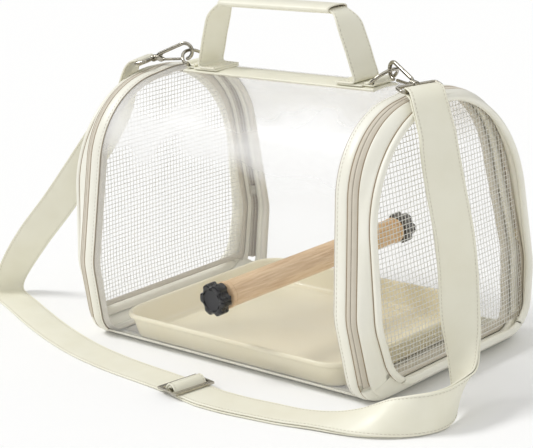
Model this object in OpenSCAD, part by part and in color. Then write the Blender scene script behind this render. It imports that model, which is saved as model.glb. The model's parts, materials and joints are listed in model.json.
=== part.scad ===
// Soft travel carrier for a small bird: a clear tunnel body between two zipped mesh doors,
// with a perch, a floor tray, a webbing handle and a clip-on shoulder strap.
// Millimetres. X runs along the tunnel, Y from front to back, Z up from the floor.

/* [Body] */
// Width of the body at its widest
body_w = 276; // [260:1:300]
// Height of the body without the handle
body_h = 280; // [270:1:310]
// Half length of the clear window, from the middle to the end binding
window_half = 168; // [160:1:190]
// Lean of each end towards the middle, in degrees
end_lean = 3; // [0:0.5:4]
// Radius of the body's lower corners
foot_r = 28; // [22:1:34]
// Radius of the body's upper shoulders
shoulder_r = 95; // [85:1:100]
// Thickness of the clear film
film_t = 0.8; // [0.6:0.1:1.2]
// Thickness of the stiff floor board
board_t = 2.8; // [2:0.2:4]

/* [Ends] */
// Width of the binding between the window and the zipper
binding_w = 14; // [12:1:18]
// Thickness of the binding over the film
binding_t = 1.2; // [1:0.1:1.6]
// Width of the zipper, both tapes together
zip_w = 10; // [9:0.5:12]
// Width of the door's side band
door_band_w = 12; // [10:1:16]
// Thickness of the leatherette in the door's side band
door_band_t = 2.4; // [2:0.1:3]
// Diameter of the piping round the door
piping_d = 7; // [6:0.5:8]
// Diameter of the spring wires in the door and in the body's end
wire_d = 3; // [2.5:0.1:3.4]
// How far the door ring draws in at each side
ring_side_in = 14; // [8:1:18]
// How far the door ring lies under the body's crown
ring_top_in = 4; // [2:1:6]
// How far the door ring lies above the floor
ring_lift = 14; // [12:1:18]
// Height of the fold that the door swings on
hinge_z = 22; // [21.6:0.1:24]
// How far the mesh lies behind the piping
mesh_recess = 12; // [10:1:14]
// Pitch of the mesh strands in the net
net_pitch = 20; // [17:1:30]

/* [Perch and tray] */
// Diameter of the wooden perch
perch_d = 27; // [24:1:30]
// Height of the perch's axis
perch_z = 84; // [70:1:100]
// Distance of the perch from the middle, along the tunnel
perch_x = 22; // [-40:1:60]
// Diameter of the knobs, over their lobes
knob_d = 34; // [30:1:40]
// Thickness of the knobs
knob_t = 13; // [11:1:18]
// Diameter of the perch's screws
screw_d = 6; // [5:0.5:8]
// Room between the tray's rim and the window's ends, both together
tray_end_room = 18; // [18:1:56]
// Room between the tray's rim and the body's sides, both together
tray_side_room = 34; // [32:1:56]
// Height of the tray
tray_h = 27; // [20:1:32]

/* [Handle and strap] */
// Width of all the webbing
webbing_w = 38; // [30:1:40]
// Thickness of the webbing
webbing_t = 2; // [1.6:0.1:2.4]
// Height of the handle's top above the body
handle_rise = 72; // [60:1:80]
// Half length of the handle's grip
grip_half = 76; // [60:1:76]
// How far the handle's legs reach beyond the grip
leg_reach = 32; // [26:1:32]
// Inner width of the rings that the hooks clip to
ring_in_w = 32; // [31:1:36]
// Diameter of the ring wire
ring_wire_d = 3.6; // [3:0.1:4]
// Distance of the ring bars from the middle of the body
ring_bar_x = 128; // [128:1:134]
// Diameter of the hook wire
hook_wire_d = 4; // [3.6:0.1:4.4]
// Distance between the centres of the hook's two ends
hook_len = 30; // [28:1:32]

/* [Hidden] */

// Gap between surfaces that slide, turn or part when a door opens
gap = 0.3;
// Steps round a whole end ring
ring_steps = 40;
// Outline of the body: the circles that it wraps, from the floor up
foot_in = 7;
waist_r = 60;
waist_z = 85;
shoulder_y = 26;
shoulder_drop = 3;
crown_r = 120;
ring_corner_grow = 12;

// Stations along X, from the window's edge outwards
seat_x = window_half + 5;
seam_x = window_half + binding_w;
zip_mid_x = seam_x + zip_w / 2;
band_x = seam_x + zip_w;
band_end_x = band_x + door_band_w;
piping_x = band_end_x + piping_d / 2;
outer_x = piping_x + piping_d / 2;
net_x = piping_x - mesh_recess;
net_t = 1.4;

// Depths below the outline, going inwards
film_in = binding_t + film_t;
binding_in = film_in + door_band_t;
tape_in = 0.6;
tape_t = 1.2;
coil_in = tape_in + tape_t + 1;
coil_w = 1.9;
zip_split = 0.6;
wire_in = film_in + gap + wire_d / 2;
wire_x = window_half;
wire_room = wire_d / 2 + gap;
wire_tape_t = 1.2;
facing_in = piping_d / 2 + 1.5;
facing_t = 1.2;
hem_in = door_band_t + 4 * gap;
hem_w = 7;

// Floor and edge binding
floor_half_y = body_w / 2 - foot_in - foot_r;
cover_t = 1.2;
film_foot_z = 3.4;
lip_z = 9;
board_top = cover_t + board_t;
board_half_x = 2 * window_half - seat_x + tan(end_lean) * (body_h / 2 - board_top) - gap;
edge_half_x = window_half + tan(end_lean) * (body_h / 2 - lip_z) - gap;

// Perch: the film is the wall that the knobs and washers clamp
washer_t = 5;
washer_d = perch_d + 1;
washer_y = body_w / 2 - film_in - 2;
dowel_half = washer_y - washer_t - gap;
knob_y = body_w / 2 - binding_t + gap;
hub_t = 2;
hub_d = 16;
screw_in_dowel = 22;
screw_in_knob = 11;
film_hole_d = screw_d + 2;

// Tray
tray_l = 2 * window_half - tray_end_room;
tray_w = body_w - tray_side_room;
tray_corner = 30;
tray_draft = 9;
tray_lip = 4.2;
tray_wall = 2;

// Top webbing and the rings
strip_top = 1;
strip_z = body_h + strip_top;
tab_r = ring_wire_d / 2 + gap + webbing_t;
tab_l = 10;
tab_w = ring_in_w - 2;
ring_z = strip_z + tab_r;
ring_r = (ring_in_w + ring_wire_d) / 2;
ring_tilt = 40;
ring_bow = [ring_bar_x + ring_r * cos(ring_tilt), 0, ring_z + ring_r * sin(ring_tilt)];

// Snap hooks, in their own frame: origin at the wide end's centre, X towards the strap
hook_tilt = 11.5;
hook_yaw = 20;
hook_way = [cos(hook_tilt) * cos(hook_yaw), -cos(hook_tilt) * sin(hook_yaw), -sin(hook_tilt)];
hook_big_r = 8.5;
hook_small_r = 3.4;
hook_flare = asin((hook_big_r - hook_small_r) / hook_len);
hook_at = ring_bow + (hook_big_r - (hook_wire_d + ring_wire_d + 3 * gap) / 2 / cos(hook_yaw)) * hook_way;
hook_nose = 14;
gate_d = 3;
gate_pin_d = 1.4;
gate_pivot = [hook_len - 0.4, -hook_small_r];
gate_angle = 180 + hook_flare;
gate_l = hook_len - hook_big_r * sin(hook_nose + hook_flare) - 1.6;
cheek_t = 0.9;
cheek_y = hook_wire_d / 2 - 0.2;
collar_x = hook_len + hook_small_r + hook_wire_d / 2 - 0.6;
collar_r = 3.4;
collar_t = 3;
pin_r = 1.7;
pin_head_t = 1.4;
eye_t = 3.4;
loop_d = 3.6;
loop_corner = 3;
loop_half = (webbing_w + 2 + loop_d) / 2;
loop_x = collar_x + collar_t + gap + eye_t / 2;
loop_len = 12;

// Handle
leg_foot_x = grip_half + leg_reach - 9;
foot_patch_l = 34;
patch_t = 1.5;
handle_top = body_h + handle_rise;
grip_w = 30;
grip_t = 9;
grip_wall = 1.8;

// Adjuster on the strap, and the strap's way through it: over the middle bar
slider_pos = [16, -190, 0];
slider_turn = -9;
glide_l = 32;
glide_w = webbing_w + 8;
glide_t = 2.4;
glide_bar = 5;
glide_middle = 3.4;
glide_z = 5.2;
glide_wrap_r = norm([glide_middle, glide_t]) / 2 + gap + webbing_t / 2;
lace = [[-19, 1.6], [-12, 2.6], [-10, 3.6], [-6.5, 8.4], [-3.5, 11.4], [-1, 12.2], [0, 12.2], [1, 12.2],
    [3.5, 11.5], [6.5, 8.4], [9, 4.6], [10.8, 3.9], [18, 3.9]];

// Strap: where it turns round each swivel loop, and its clearance from it
fold_r = loop_d / 2 + gap + webbing_t / 2;
bar_at = hook_at + (loop_x + loop_len) * hook_way;
bar_way = [sin(hook_yaw), cos(hook_yaw), 0];
bar_out = [cos(hook_yaw), -sin(hook_yaw), 0];
layer_gap = webbing_t + 0.6;
half_w = webbing_w / 2;

// Height of the loop's bar that the two routes below are written for
route_top = 285.421;

// Floor and shoulder route of the doubled strap, from the adjuster to the right ring,
// with the direction across the webbing at each point
right_route = [[54, -195.5, 2.6], [85, -195, 2.6], [120, -191, 2.6], [155, -186, 2.6], [190, -178, 4.8],
    [222, -173, 10.2], [250, -167, 17], [273, -153, 19.6], [286, -131, 20], [286, -106, 23],
    [276, -82, 34], [262, -63, 55], [252, -52, 85], [247, -46, 120], [243, -44, 155], [237, -44, 190],
    [230, -42, 222], [222.5, -37, 250]];
right_across = [[0.1, 1, 0], [0.1, 1, 0], [0.14, 1, 0], [0.18, 1, 0], [0.2, 1, 0.1],
    [0.15, 0.9, 0.4], [0.1, 0.6, 0.8], [0, 0.25, 1], [0, 0, 1], [0.25, -0.1, 0.95],
    [0.7, -0.1, 0.5], [0.92, 0.05, 0.15], [0.84, 0.5, 0], [0.74, 0.67, 0], [0.72, 0.69, 0], [0.69, 0.72, 0],
    [0.56, 0.83, 0], [0.4, 0.92, 0]];

// Route of the single strap, from the left ring down to the floor and back to the adjuster
left_route = [[-217, -27, 252], [-232, -27, 232], [-253, -30, 205], [-277, -36, 175],
    [-302, -45, 143], [-328, -55, 110], [-354, -66, 79], [-379, -73, 48], [-395, -79, 22],
    [-396, -85, 6], [-380, -92, 1.6], [-350, -103, 1.2], [-310, -119, 1.2], [-260, -138, 1.2],
    [-205, -156, 1.2], [-150, -170, 1.2], [-90, -179, 1.2], [-40, -183, 1.2], [-14, -185.3, 1.4]];
left_across = [[-0.2, 0.95, -0.15], [0.1, 0.88, -0.35], [0.4, 0.75, -0.5], [0.58, 0.55, -0.6],
    [0.66, 0.44, -0.62], [0.66, 0.42, -0.62], [0.62, 0.5, -0.6], [0.5, 0.7, -0.45], [0.35, 0.9, -0.25],
    [0.3, 0.93, -0.05], [0.3, 0.94, 0], [0.33, 0.94, 0], [0.36, 0.93, 0], [0.33, 0.94, 0],
    [0.27, 0.96, 0], [0.2, 0.98, 0], [0.13, 0.99, 0], [0.12, 1, 0], [0.15, 1, 0]];

/* Outline functions */

// Share of the way from the body's outline to the door ring's; the end rounds over as it goes
function taper(x) = pow(max(0, min(1, (abs(x) - seam_x) / (band_end_x - seam_x))), 2);

// The circles [y, z, radius] that one half of the outline wraps, k from body to door ring
function arch(k) = let (
        w = body_w / 2 - ring_side_in * k,
        r = foot_r + ring_corner_grow * k,
        top = body_h - ring_top_in * k)
    [[w - foot_in - r, ring_lift * k + r, r],
     [w - waist_r, waist_z, waist_r],
     [shoulder_y - ring_side_in * k, top - shoulder_drop - shoulder_r, shoulder_r],
     [0, top - crown_r, crown_r]];

// Point [y, z] where the outline, drawn in by a depth, faces the angle a above the horizontal
function rim(side, a, k, depth) = let (
        circles = arch(k),
        reach = [for (c = circles) c[0] * cos(a) + c[1] * sin(a) + c[2]],
        c = circles[search(max(reach), reach)[0]],
        r = c[2] - depth)
    [side * (c[0] + r * cos(a)), c[1] + r * sin(a)];

// Angle that faces squarely out from the straight side between one circle and the next
function facing(c, d) = atan2(c[1] - d[1], c[0] - d[0])
    + acos((d[2] - c[2]) / norm([c[0] - d[0], c[1] - d[1]]));

// Point of step i round the outline, from the middle of the floor up the back and over
function round_at(i, k, depth) = let (a = -90 + 360 * i / ring_steps)
    i <= ring_steps / 2 ? rim(1, a, k, depth) : rim(-1, 180 - a, k, depth);

// The whole outline, as a list of points [y, z]
function outline(k, depth) = [for (i = [0 : ring_steps - 1]) round_at(i, k, depth)];

// Each end leans in: a point's distance from the middle shrinks with its height
function lean(x, yz) = [sign(x) * (abs(x) - tan(end_lean) * (yz[1] - body_h / 2)), yz[0], yz[1]];

// Regular section of a round tube at [x, depth]
function round_section(x, depth, r, n) = [for (j = [0 : n - 1]) let (t = 360 * (j + 0.5) / n)
    [x + r * cos(t), depth - r * sin(t)]];

function unit(v) = v / norm(v);

// Points on a smooth curve through the given ones, with m steps between neighbours
function curve(p, m) = let (n = len(p) - 1)
    [for (i = [0 : n * m]) let (
        s = min(floor(i / m), n - 1),
        t = i / m - s,
        a = p[max(s - 1, 0)], b = p[s], c = p[s + 1], d = p[min(s + 2, n)])
    b + 0.5 * t * ((c - a) + t * ((2 * a - 5 * b + 4 * c - d) + t * (3 * b - a - 3 * c + d)))];

/* Shape modules */

// Closed solid through rows of points; each row is a loop that turns about the way it goes.
// On flat webbing both faces are split along the same diagonals, so that a twist keeps its thickness
module loft(rows, closed = false, webbing = false) {
    m = len(rows[0]);
    last = len(rows) - 1;
    flat = [for (r = rows) for (q = r) q];
    sides = [for (i = [0 : closed ? last : last - 1]) for (j = [0 : m - 1]) for (t = [0, 1]) let (
        a = i * m + j,
        b = i * m + (j + 1) % m,
        c = (i + 1) % (last + 1) * m + j,
        d = (i + 1) % (last + 1) * m + (j + 1) % m)
        webbing && 2 * j >= m ? (t == 0 ? [a, c, b] : [b, c, d]) : (t == 0 ? [a, c, d] : [a, d, b])];
    caps = closed ? [] : [for (j = [1 : m - 2]) for (t = [0, 1])
        t == 0 ? [0, j, j + 1] : [last * m, last * m + j + 1, last * m + j]];
    polyhedron(flat, concat(sides, caps));
}

// Ring of material round the outline; its section is a list of [x, depth], on the door
// ring's own outline where it is a round cord
module skin(section, cord = false) {
    loft([for (i = [0 : ring_steps - 1])
        [for (v = section) lean(v[0], round_at(i, cord ? 1 : taper(v[0]), v[1]))]], true);
}

// Section of a sheet from x0 to x1, between two depths, with a point halfway
function sheet(x0, x1, outer, inner) = [[x0, inner], [(x0 + x1) / 2, inner], [x1, inner],
    [x1, outer], [(x0 + x1) / 2, outer], [x0, outer]];

// What lies under a height, and the rest
module under(z) intersection() {
    children();
    lower_space(z);
}

module over(z) difference() {
    children();
    lower_space(z);
}

module lower_space(z) {
    size = 2 * (body_w + body_h);
    translate([-size, -size, z - size]) cube([2 * size, 2 * size, size]);
}

// Flat webbing along points, with a half-width vector at each
module ribbon(p, half, t) {
    last = len(p) - 1;
    loft([for (i = [0 : last]) let (
            along = unit(p[min(i + 1, last)] - p[max(i - 1, 0)]),
            up = unit(cross(along, half[i])) * t / 2,
            w = half[i])
        [p[i] - w - up, p[i] + w - up, p[i] + w + up, p[i] - w + up]], webbing = true);
}

// The same piece at the right end, or mirrored to the left end
module at_end(side) {
    mirror([side < 0 ? 1 : 0, 0, 0]) children();
}

module rod(a, b, d) {
    v = b - a;
    translate(a) rotate([0, acos(v[2] / norm(v)), atan2(v[1], v[0])])
        cylinder(h = norm(v), d = d, $fn = 32);
}

/* Floor and tunnel */

module floor_cover() color("ivory")
    translate([-edge_half_x, -floor_half_y, 0]) cube([2 * edge_half_x, 2 * floor_half_y, cover_t]);

module floor_board() color("lightgrey") {
    half_y = floor_half_y - gap;
    translate([-board_half_x, -half_y, cover_t]) cube([2 * board_half_x, 2 * half_y, board_t]);
}

module clear_tunnel() color("aliceblue", 0.3) difference() {
    over(film_foot_z) skin([[-seat_x, film_in], [seat_x, film_in], [seat_x, binding_t],
        [-seat_x, binding_t]]);
    translate([perch_x, 0, perch_z]) rotate([90, 0, 0])
        cylinder(h = body_w + 2, d = film_hole_d, center = true, $fn = 48);
}

// Band between two depths of the body's outline, up to a height
module hoop(from, to, top) intersection() {
    difference() {
        polygon(outline(0, from));
        polygon(outline(0, to));
    }
    translate([floor_half_y, -1]) square([body_w, top + 1]);
}

// Strip along the floor's edge that the film's foot is sewn into
module edge_binding(side) color("ivory") mirror([0, side < 0 ? 1 : 0, 0])
    rotate([90, 0, 90]) {
        linear_extrude(2 * edge_half_x, center = true) hoop(0, binding_t, lip_z);
        linear_extrude(2 * board_half_x, center = true) hoop(0, board_top, film_foot_z);
    }

module end_binding(side) color("ivory") at_end(side)
    skin([[seat_x, binding_t], [seat_x, binding_in], [seam_x, binding_in], [seam_x, 0],
        [window_half, 0], [window_half, binding_t]]);

module end_wire(side) color("silver") at_end(side)
    skin(round_section(wire_x, wire_in, wire_d / 2, 6));

// Tape sewn over the wire, open towards the film
module wire_tape(side) color("tan") at_end(side) {
    under = wire_in + wire_room;
    skin([[wire_x - seat_x + window_half, under + wire_tape_t], [seat_x, under + wire_tape_t],
        [seat_x, film_in], [wire_x + wire_room, film_in], [wire_x + wire_room, under],
        [wire_x - wire_room, under], [wire_x - wire_room, film_in],
        [wire_x - seat_x + window_half, film_in]]);
}

/* Zippers */

module body_zip_tape(side) color("tan") at_end(side) {
    edge = zip_mid_x - zip_split;
    over(hinge_z + gap) skin([[edge - coil_w, tape_in + tape_t], [edge - coil_w, coil_in],
        [edge, coil_in], [edge, tape_in], [seam_x, tape_in], [seam_x, tape_in + tape_t]]);
}

module door_zip_tape(side) color("tan") at_end(side) {
    edge = zip_mid_x + zip_split;
    over(hinge_z + gap) skin([[edge + coil_w, tape_in + tape_t], [band_x, tape_in + tape_t],
        [band_x, tape_in], [edge, tape_in], [edge, coil_in], [edge + coil_w, coil_in]]);
}

// The straight stretch of the side that a slider runs on: its angle and its lower and upper ends
zip_k = taper(zip_mid_x);
zip_step = floor((90 + facing(arch(zip_k)[1], arch(zip_k)[2])) * ring_steps / 360);
zip_low = round_at(zip_step, zip_k, 0);
zip_high = round_at(zip_step + 1, zip_k, 0);
zip_angle = atan2(zip_low[0] - zip_high[0], zip_high[1] - zip_low[1]);
slider_l = 12;
slider_half_w = 3.4;
slider_out = 0.8;
slider_room = coil_in + 0.7;
slider_plate = 1.1;
slider_tilt = atan(ring_side_in * (taper(zip_mid_x + 0.5) - taper(zip_mid_x - 0.5)));
slider_at = zip_low + (zip_high - zip_low) * 0.09;
pull_bar_y = 4.1;
pull_bar_d = 1.6;

// Frame of a slider: Y points out of the body, Z up along the zipper
module on_zip(side) at_end(side)
    translate(lean(zip_mid_x, slider_at)) rotate([0, -end_lean, 0]) rotate([zip_angle, 0, 0])
        rotate([0, 0, -slider_tilt]) children();

module zip_slider(side) color("silver") on_zip(side) {
    for (y = [slider_out, -slider_room - slider_plate])
        translate([-slider_half_w, y, -slider_l / 2]) cube([2 * slider_half_w, slider_plate, slider_l]);
    rotate([0, 0, slider_tilt]) translate([gap - zip_split, -slider_room - 0.3, slider_l / 2 - 5])
        cube([2 * (zip_split - gap), slider_room + slider_out + 0.6, 5]);
    for (x = [-2.8, 2]) translate([x, slider_out + slider_plate / 2, -0.8])
            cube([0.8, pull_bar_y - slider_out - slider_plate / 2, 1.6]);
    translate([-2.8, pull_bar_y, 0]) rotate([0, 90, 0]) cylinder(h = 5.6, d = pull_bar_d, $fn = 32);
}

module zip_pull(side) color("silver") on_zip(side) translate([0, pull_bar_y, 0]) {
    pull_w = 5;
    pull_l = 20;
    difference() {
        union() {
            rotate([0, 90, 0]) cylinder(h = 3, d = pull_bar_d + 2, center = true, $fn = 32);
            translate([-1.5, -0.6, -5]) cube([3, 1.2, 4]);
            translate([-pull_w / 2, -0.6, -pull_l]) cube([pull_w, 1.2, pull_l - 4]);
        }
        rotate([0, 90, 0]) cylinder(h = 4, d = pull_bar_d + 0.4, center = true, $fn = 32);
        translate([0, 0, -pull_l + 3.5]) rotate([90, 0, 0])
            cylinder(h = 3, d = 2.6, center = true, $fn = 32);
    }
}

/* Doors */

// Floor part of the end sleeve, below the fold that the door swings on
module sill(side) color("ivory") at_end(side) {
    joined_x = piping_x - 0.6 * piping_d / 2;
    under(hinge_z - gap) {
        skin([[seam_x, door_band_t], [band_x, door_band_t], [(band_x + band_end_x) / 2, door_band_t],
            [band_end_x, door_band_t], [joined_x, door_band_t], [joined_x, 0], [band_end_x, 0],
            [(band_x + band_end_x) / 2, 0], [band_x, 0], [seam_x, 0]]);
        skin(round_section(piping_x, piping_d / 2, piping_d / 2, 8), true);
        skin([[net_x, facing_in + facing_t], [band_end_x, facing_in + facing_t],
            [joined_x, facing_in + facing_t], [joined_x, facing_in], [band_end_x, facing_in],
            [net_x, facing_in]]);
    }
}

module door_band(side) color("ivory") at_end(side) over(hinge_z + gap)
    skin(sheet(band_x, band_end_x, 0, door_band_t));

module door_piping(side) color("ivory") at_end(side) over(hinge_z + gap) difference() {
    skin(round_section(piping_x, piping_d / 2, piping_d / 2, 8), true);
    skin(round_section(piping_x, piping_d / 2, wire_room + 0.4, 6), true);
}

module door_wire(side) color("silver") at_end(side) over(hinge_z + gap)
    skin(round_section(piping_x, piping_d / 2, wire_d / 2, 6), true);

// Band that joins the piping to the set-back mesh
module door_facing(side) color("linen") at_end(side) over(hinge_z + gap)
    skin(sheet(net_x + net_t / 2, band_end_x, facing_in, facing_in + facing_t));

// The door's opening, flat, drawn in by a depth from the sleeve's outline and cut at its foot
module door_outline(depth, foot) intersection() {
    polygon(outline(taper(net_x), depth));
    translate([-body_w / 2, foot]) square([body_w, body_h]);
}

module door_net(side) color("white") at_end(side) {
    strand = 1.6;
    foot = hinge_z + 2 * gap;
    half = ceil(body_w / 2 / net_pitch);
    rows = ceil(body_h / net_pitch);
    translate([net_x, 0, body_h / 2]) rotate([0, -end_lean, 0]) translate([0, 0, -body_h / 2])
        rotate([90, 0, 90]) linear_extrude(net_t, center = true) {
            difference() {
                door_outline(hem_in, foot);
                door_outline(hem_in + hem_w, foot + hem_w);
            }
            intersection() {
                door_outline(hem_in + hem_w / 2, foot + hem_w / 2);
                union() {
                    for (i = [-half : half])
                        translate([i * net_pitch - strand / 2, 0]) square([strand, body_h]);
                    for (i = [1 : rows])
                        translate([-body_w / 2, i * net_pitch - strand / 2]) square([body_w, strand]);
                }
            }
        }
}

/* Perch */

// Frame at either side wall: Z points out of the body along the perch, from the middle
module on_perch(side) translate([perch_x, 0, perch_z]) rotate([-90 * side, 0, 0]) children();

module perch_dowel() color("burlywood") difference() {
    on_perch(1) cylinder(h = 2 * dowel_half, d = perch_d, center = true, $fn = 72);
    for (side = [-1, 1]) on_perch(side) translate([0, 0, dowel_half - screw_in_dowel])
        cylinder(h = screw_in_dowel + 1, d = screw_d, $fn = 32);
}

module perch_washers() color("tan") for (side = [-1, 1])
    on_perch(side) translate([0, 0, washer_y - washer_t]) difference() {
        cylinder(h = washer_t, d = washer_d, $fn = 72);
        translate([0, 0, -1]) cylinder(h = washer_t + 2, d = screw_d, $fn = 32);
    }

module perch_screws() color("silver") for (side = [-1, 1])
    on_perch(side) translate([0, 0, dowel_half - screw_in_dowel])
        cylinder(h = knob_y + screw_in_knob - dowel_half + screw_in_dowel, d = screw_d, $fn = 32);

// Six-lobed knob with a hub that stands off the film and a shallow recess in its face
module knob(side) color("dimgray") on_perch(side) translate([0, 0, knob_y]) difference() {
    union() {
        cylinder(h = hub_t, d = hub_d, $fn = 48);
        translate([0, 0, hub_t]) difference() {
            cylinder(h = knob_t, d = knob_d, $fn = 96);
            for (i = [0 : 5]) rotate(60 * i + 30) translate([knob_d / 2 + 2.2, 0, -1])
                cylinder(h = knob_t + 2, d = 10, $fn = 40);
            translate([0, 0, knob_t - 1.2]) cylinder(h = 2, d = knob_d - 12, $fn = 64);
        }
    }
    translate([0, 0, -1]) cylinder(h = screw_in_knob + 1 + gap, d = screw_d + 2 * gap, $fn = 32);
}

/* Floor tray */

// Rounded rectangle at height z above the tray's foot, drawn in from the rim
function tray_row(depth, z) = [for (q = [0 : 3]) for (j = [0 : 6]) let (
        a = 90 * q + 15 * j,
        r = tray_corner - depth,
        sx = q == 0 || q == 3 ? 1 : -1,
        sy = q < 2 ? 1 : -1)
    [sx * (tray_l / 2 - tray_corner) + r * cos(a), sy * (tray_w / 2 - tray_corner) + r * sin(a),
     board_top + gap + z]];

module tray() color("oldlace") {
    loft([tray_row(tray_draft + 2, 0), tray_row(tray_draft, 1.6), tray_row(tray_lip, tray_h - 6),
        tray_row(0.6, tray_h - 5), tray_row(0, tray_h - 3), tray_row(0.6, tray_h - 0.9),
        tray_row(2, tray_h), tray_row(tray_lip - 0.5, tray_h), tray_row(tray_lip + 1.2, tray_h - 1.6),
        tray_row(tray_draft + tray_wall, 4), tray_row(tray_draft + tray_wall + 2, tray_wall)]);
}

/* Rings, hooks and loops */

module top_webbing() color("ivory") {
    sag = 0.0039;
    arc = [for (y = [-1 : 0.25 : 1]) [y * half_w, -sag * pow(y * half_w, 2)]];
    under = [for (i = [len(arc) - 1 : -1 : 0]) arc[i] - [0, binding_t + strip_top]];
    half_l = ring_bar_x + tab_r;
    translate([0, 0, strip_z]) rotate([90, 0, 90]) linear_extrude(2 * half_l, center = true)
        polygon(concat(under, [for (i = [0 : len(arc) - 1]) arc[i]]));
}

// Webbing turned round the bar of each ring and sewn down
module ring_tabs() color("ivory") for (side = [-1, 1]) at_end(side) {
    translate([ring_bar_x, 0, ring_z]) rotate([90, 0, 0]) difference() {
        cylinder(h = tab_w, r = tab_r, center = true, $fn = 48);
        cylinder(h = tab_w + 2, r = ring_wire_d / 2 + gap, center = true, $fn = 32);
    }
    translate([ring_bar_x - tab_l, -tab_w / 2, strip_z]) difference() {
        cube([tab_l, tab_w, webbing_t]);
        translate([tab_l, -1, tab_r]) rotate([-90, 0, 0])
            cylinder(h = tab_w + 2, r = tab_r - 0.1, $fn = 48);
    }
}

module d_ring(side) color("silver") at_end(side)
    translate([ring_bar_x, 0, ring_z]) rotate([0, -ring_tilt, 0]) {
        rotate([90, 0, 0]) cylinder(h = 2 * ring_r, d = ring_wire_d, center = true, $fn = 32);
        for (y = [-ring_r, ring_r]) translate([0, y, 0]) sphere(d = ring_wire_d, $fn = 32);
        rotate(-90) rotate_extrude(angle = 180, $fn = 96) translate([ring_r, 0])
            circle(d = ring_wire_d, $fn = 32);
    }

module on_hook(side) at_end(side) translate(hook_at) rotate([0, hook_tilt, -hook_yaw]) children();

// Bow of round wire in the hook's plane, from angle a0 to a1
module bow(r, d, a0, a1) rotate([90, 0, 0]) rotate(a0)
    rotate_extrude(angle = a1 - a0, $fn = 96) translate([r, 0]) circle(d = d, $fn = 32);

module snap_hook(side) color("silver") on_hook(side) {
    up = 90 - hook_flare;
    nose = 360 - up - hook_nose;
    heel = -5;
    bow(hook_big_r, hook_wire_d, up, nose);
    rod(hook_big_r * [cos(up), 0, sin(up)], [hook_len, 0, 0] + hook_small_r * [cos(up), 0, sin(up)],
        hook_wire_d);
    translate([hook_len, 0, 0]) bow(hook_small_r, hook_wire_d, heel, up);
    for (y = [-cheek_y - cheek_t, cheek_y]) translate([0, y + cheek_t, 0]) rotate([90, 0, 0])
        linear_extrude(cheek_t) difference() {
            union() {
                translate(gate_pivot) circle(d = 4.4, $fn = 32);
                polygon([gate_pivot + [-1.2, 1.8], gate_pivot + [0.4, -2.15],
                    [hook_len + hook_small_r + 1.4, -0.6], [hook_len + hook_small_r - 1.4, 1]]);
            }
            translate(gate_pivot) circle(d = gate_pin_d, $fn = 32);
        }
    rotate([0, 90, 0]) {
        translate([0, 0, collar_x]) cylinder(h = collar_t, r = collar_r, $fn = 48);
        cylinder_x = collar_x + collar_t;
        translate([0, 0, cylinder_x - 0.5]) cylinder(h = eye_t + 2 * gap + 1, r = pin_r, $fn = 32);
        translate([0, 0, cylinder_x + eye_t + 2 * gap])
            cylinder(h = pin_head_t, r = pin_r + 1, $fn = 48);
    }
}

module hook_gate(side) color("silver") on_hook(side)
    translate([gate_pivot[0], 0, gate_pivot[1]]) difference() {
        union() {
            rotate([90, 0, 0]) cylinder(h = gate_d - 0.2, d = 4, center = true, $fn = 32);
            rotate([0, -gate_angle, 0]) translate([1.2, 0, 0]) rotate([0, 90, 0])
                cylinder(h = gate_l - 1.2, d = gate_d, $fn = 32);
        }
        rotate([90, 0, 0]) cylinder(h = 6, d = gate_pin_d + 0.4, center = true, $fn = 32);
    }

module gate_pin(side) color("gray") on_hook(side)
    translate([gate_pivot[0], 0, gate_pivot[1]]) rotate([90, 0, 0])
        cylinder(h = 2 * (cheek_y + cheek_t), d = gate_pin_d, center = true, $fn = 32);

// Wire loop for the webbing, with an eye that turns on the hook's pin
module swivel_loop(side) color("silver") on_hook(side) translate([loop_x, 0, 0]) {
    rotate([0, 90, 0]) difference() {
        cylinder(h = eye_t, r = pin_r + gap + 1.8, center = true, $fn = 48);
        cylinder(h = eye_t + 2, r = pin_r + gap, center = true, $fn = 32);
    }
    arm = pin_r + gap + 1;
    bend = loop_half - loop_corner;
    for (s = [-1, 1]) {
        rod([0, s * arm, 0], [0, s * bend, 0], loop_d);
        rod([loop_corner, s * loop_half, 0], [loop_len - loop_corner, s * loop_half, 0], loop_d);
    }
    rod([loop_len, -bend, 0], [loop_len, bend, 0], loop_d);
    for (x = [loop_corner, loop_len - loop_corner]) for (s = [-1, 1])
        translate([x, s * bend, 0])
            rotate(x == loop_corner ? (s > 0 ? 90 : 180) : (s > 0 ? 0 : 270))
                rotate_extrude(angle = 90, $fn = 64) translate([loop_corner, 0])
                    circle(d = loop_d, $fn = 32);
}

/* Handle */

module handle_feet() color("ivory") for (side = [-1, 1])
    translate([side * (leg_foot_x + 1) - foot_patch_l / 2, -half_w + 1, strip_z])
        cube([foot_patch_l, webbing_w - 2, patch_t]);

// The handle's line, from a foot up to the grip: beyond the grip's end, and above the foot,
// both for a reach of 32 and a rise of 72
foot_z = strip_z + patch_t + gap + webbing_t / 2;
leg_path = [[32, 0], [28.5, 12.2], [23.5, 30.2], [17.7, 45.7]];
bend_path = [[17.5, 46.2], [14, 55.2], [9, 62.2], [3.5, 66.7], [-2, 68.6], [-16, 69]];

function handle_point(q) = [grip_half + q[0] * leg_reach / 32, 0, foot_z + q[1] * handle_rise / 72];

module handle_leg(side) color("ivory") at_end(side) {
    p = curve([for (q = leg_path) handle_point(q)], 2);
    ribbon(p, [for (q = p) [0, half_w, 0]], webbing_t);
    translate([leg_foot_x - foot_patch_l / 2 + 3, -half_w + 1, strip_z + patch_t])
        cube([p[0][0] - leg_foot_x + foot_patch_l / 2 - 3, webbing_w - 2, gap + webbing_t / 2]);
}

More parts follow.
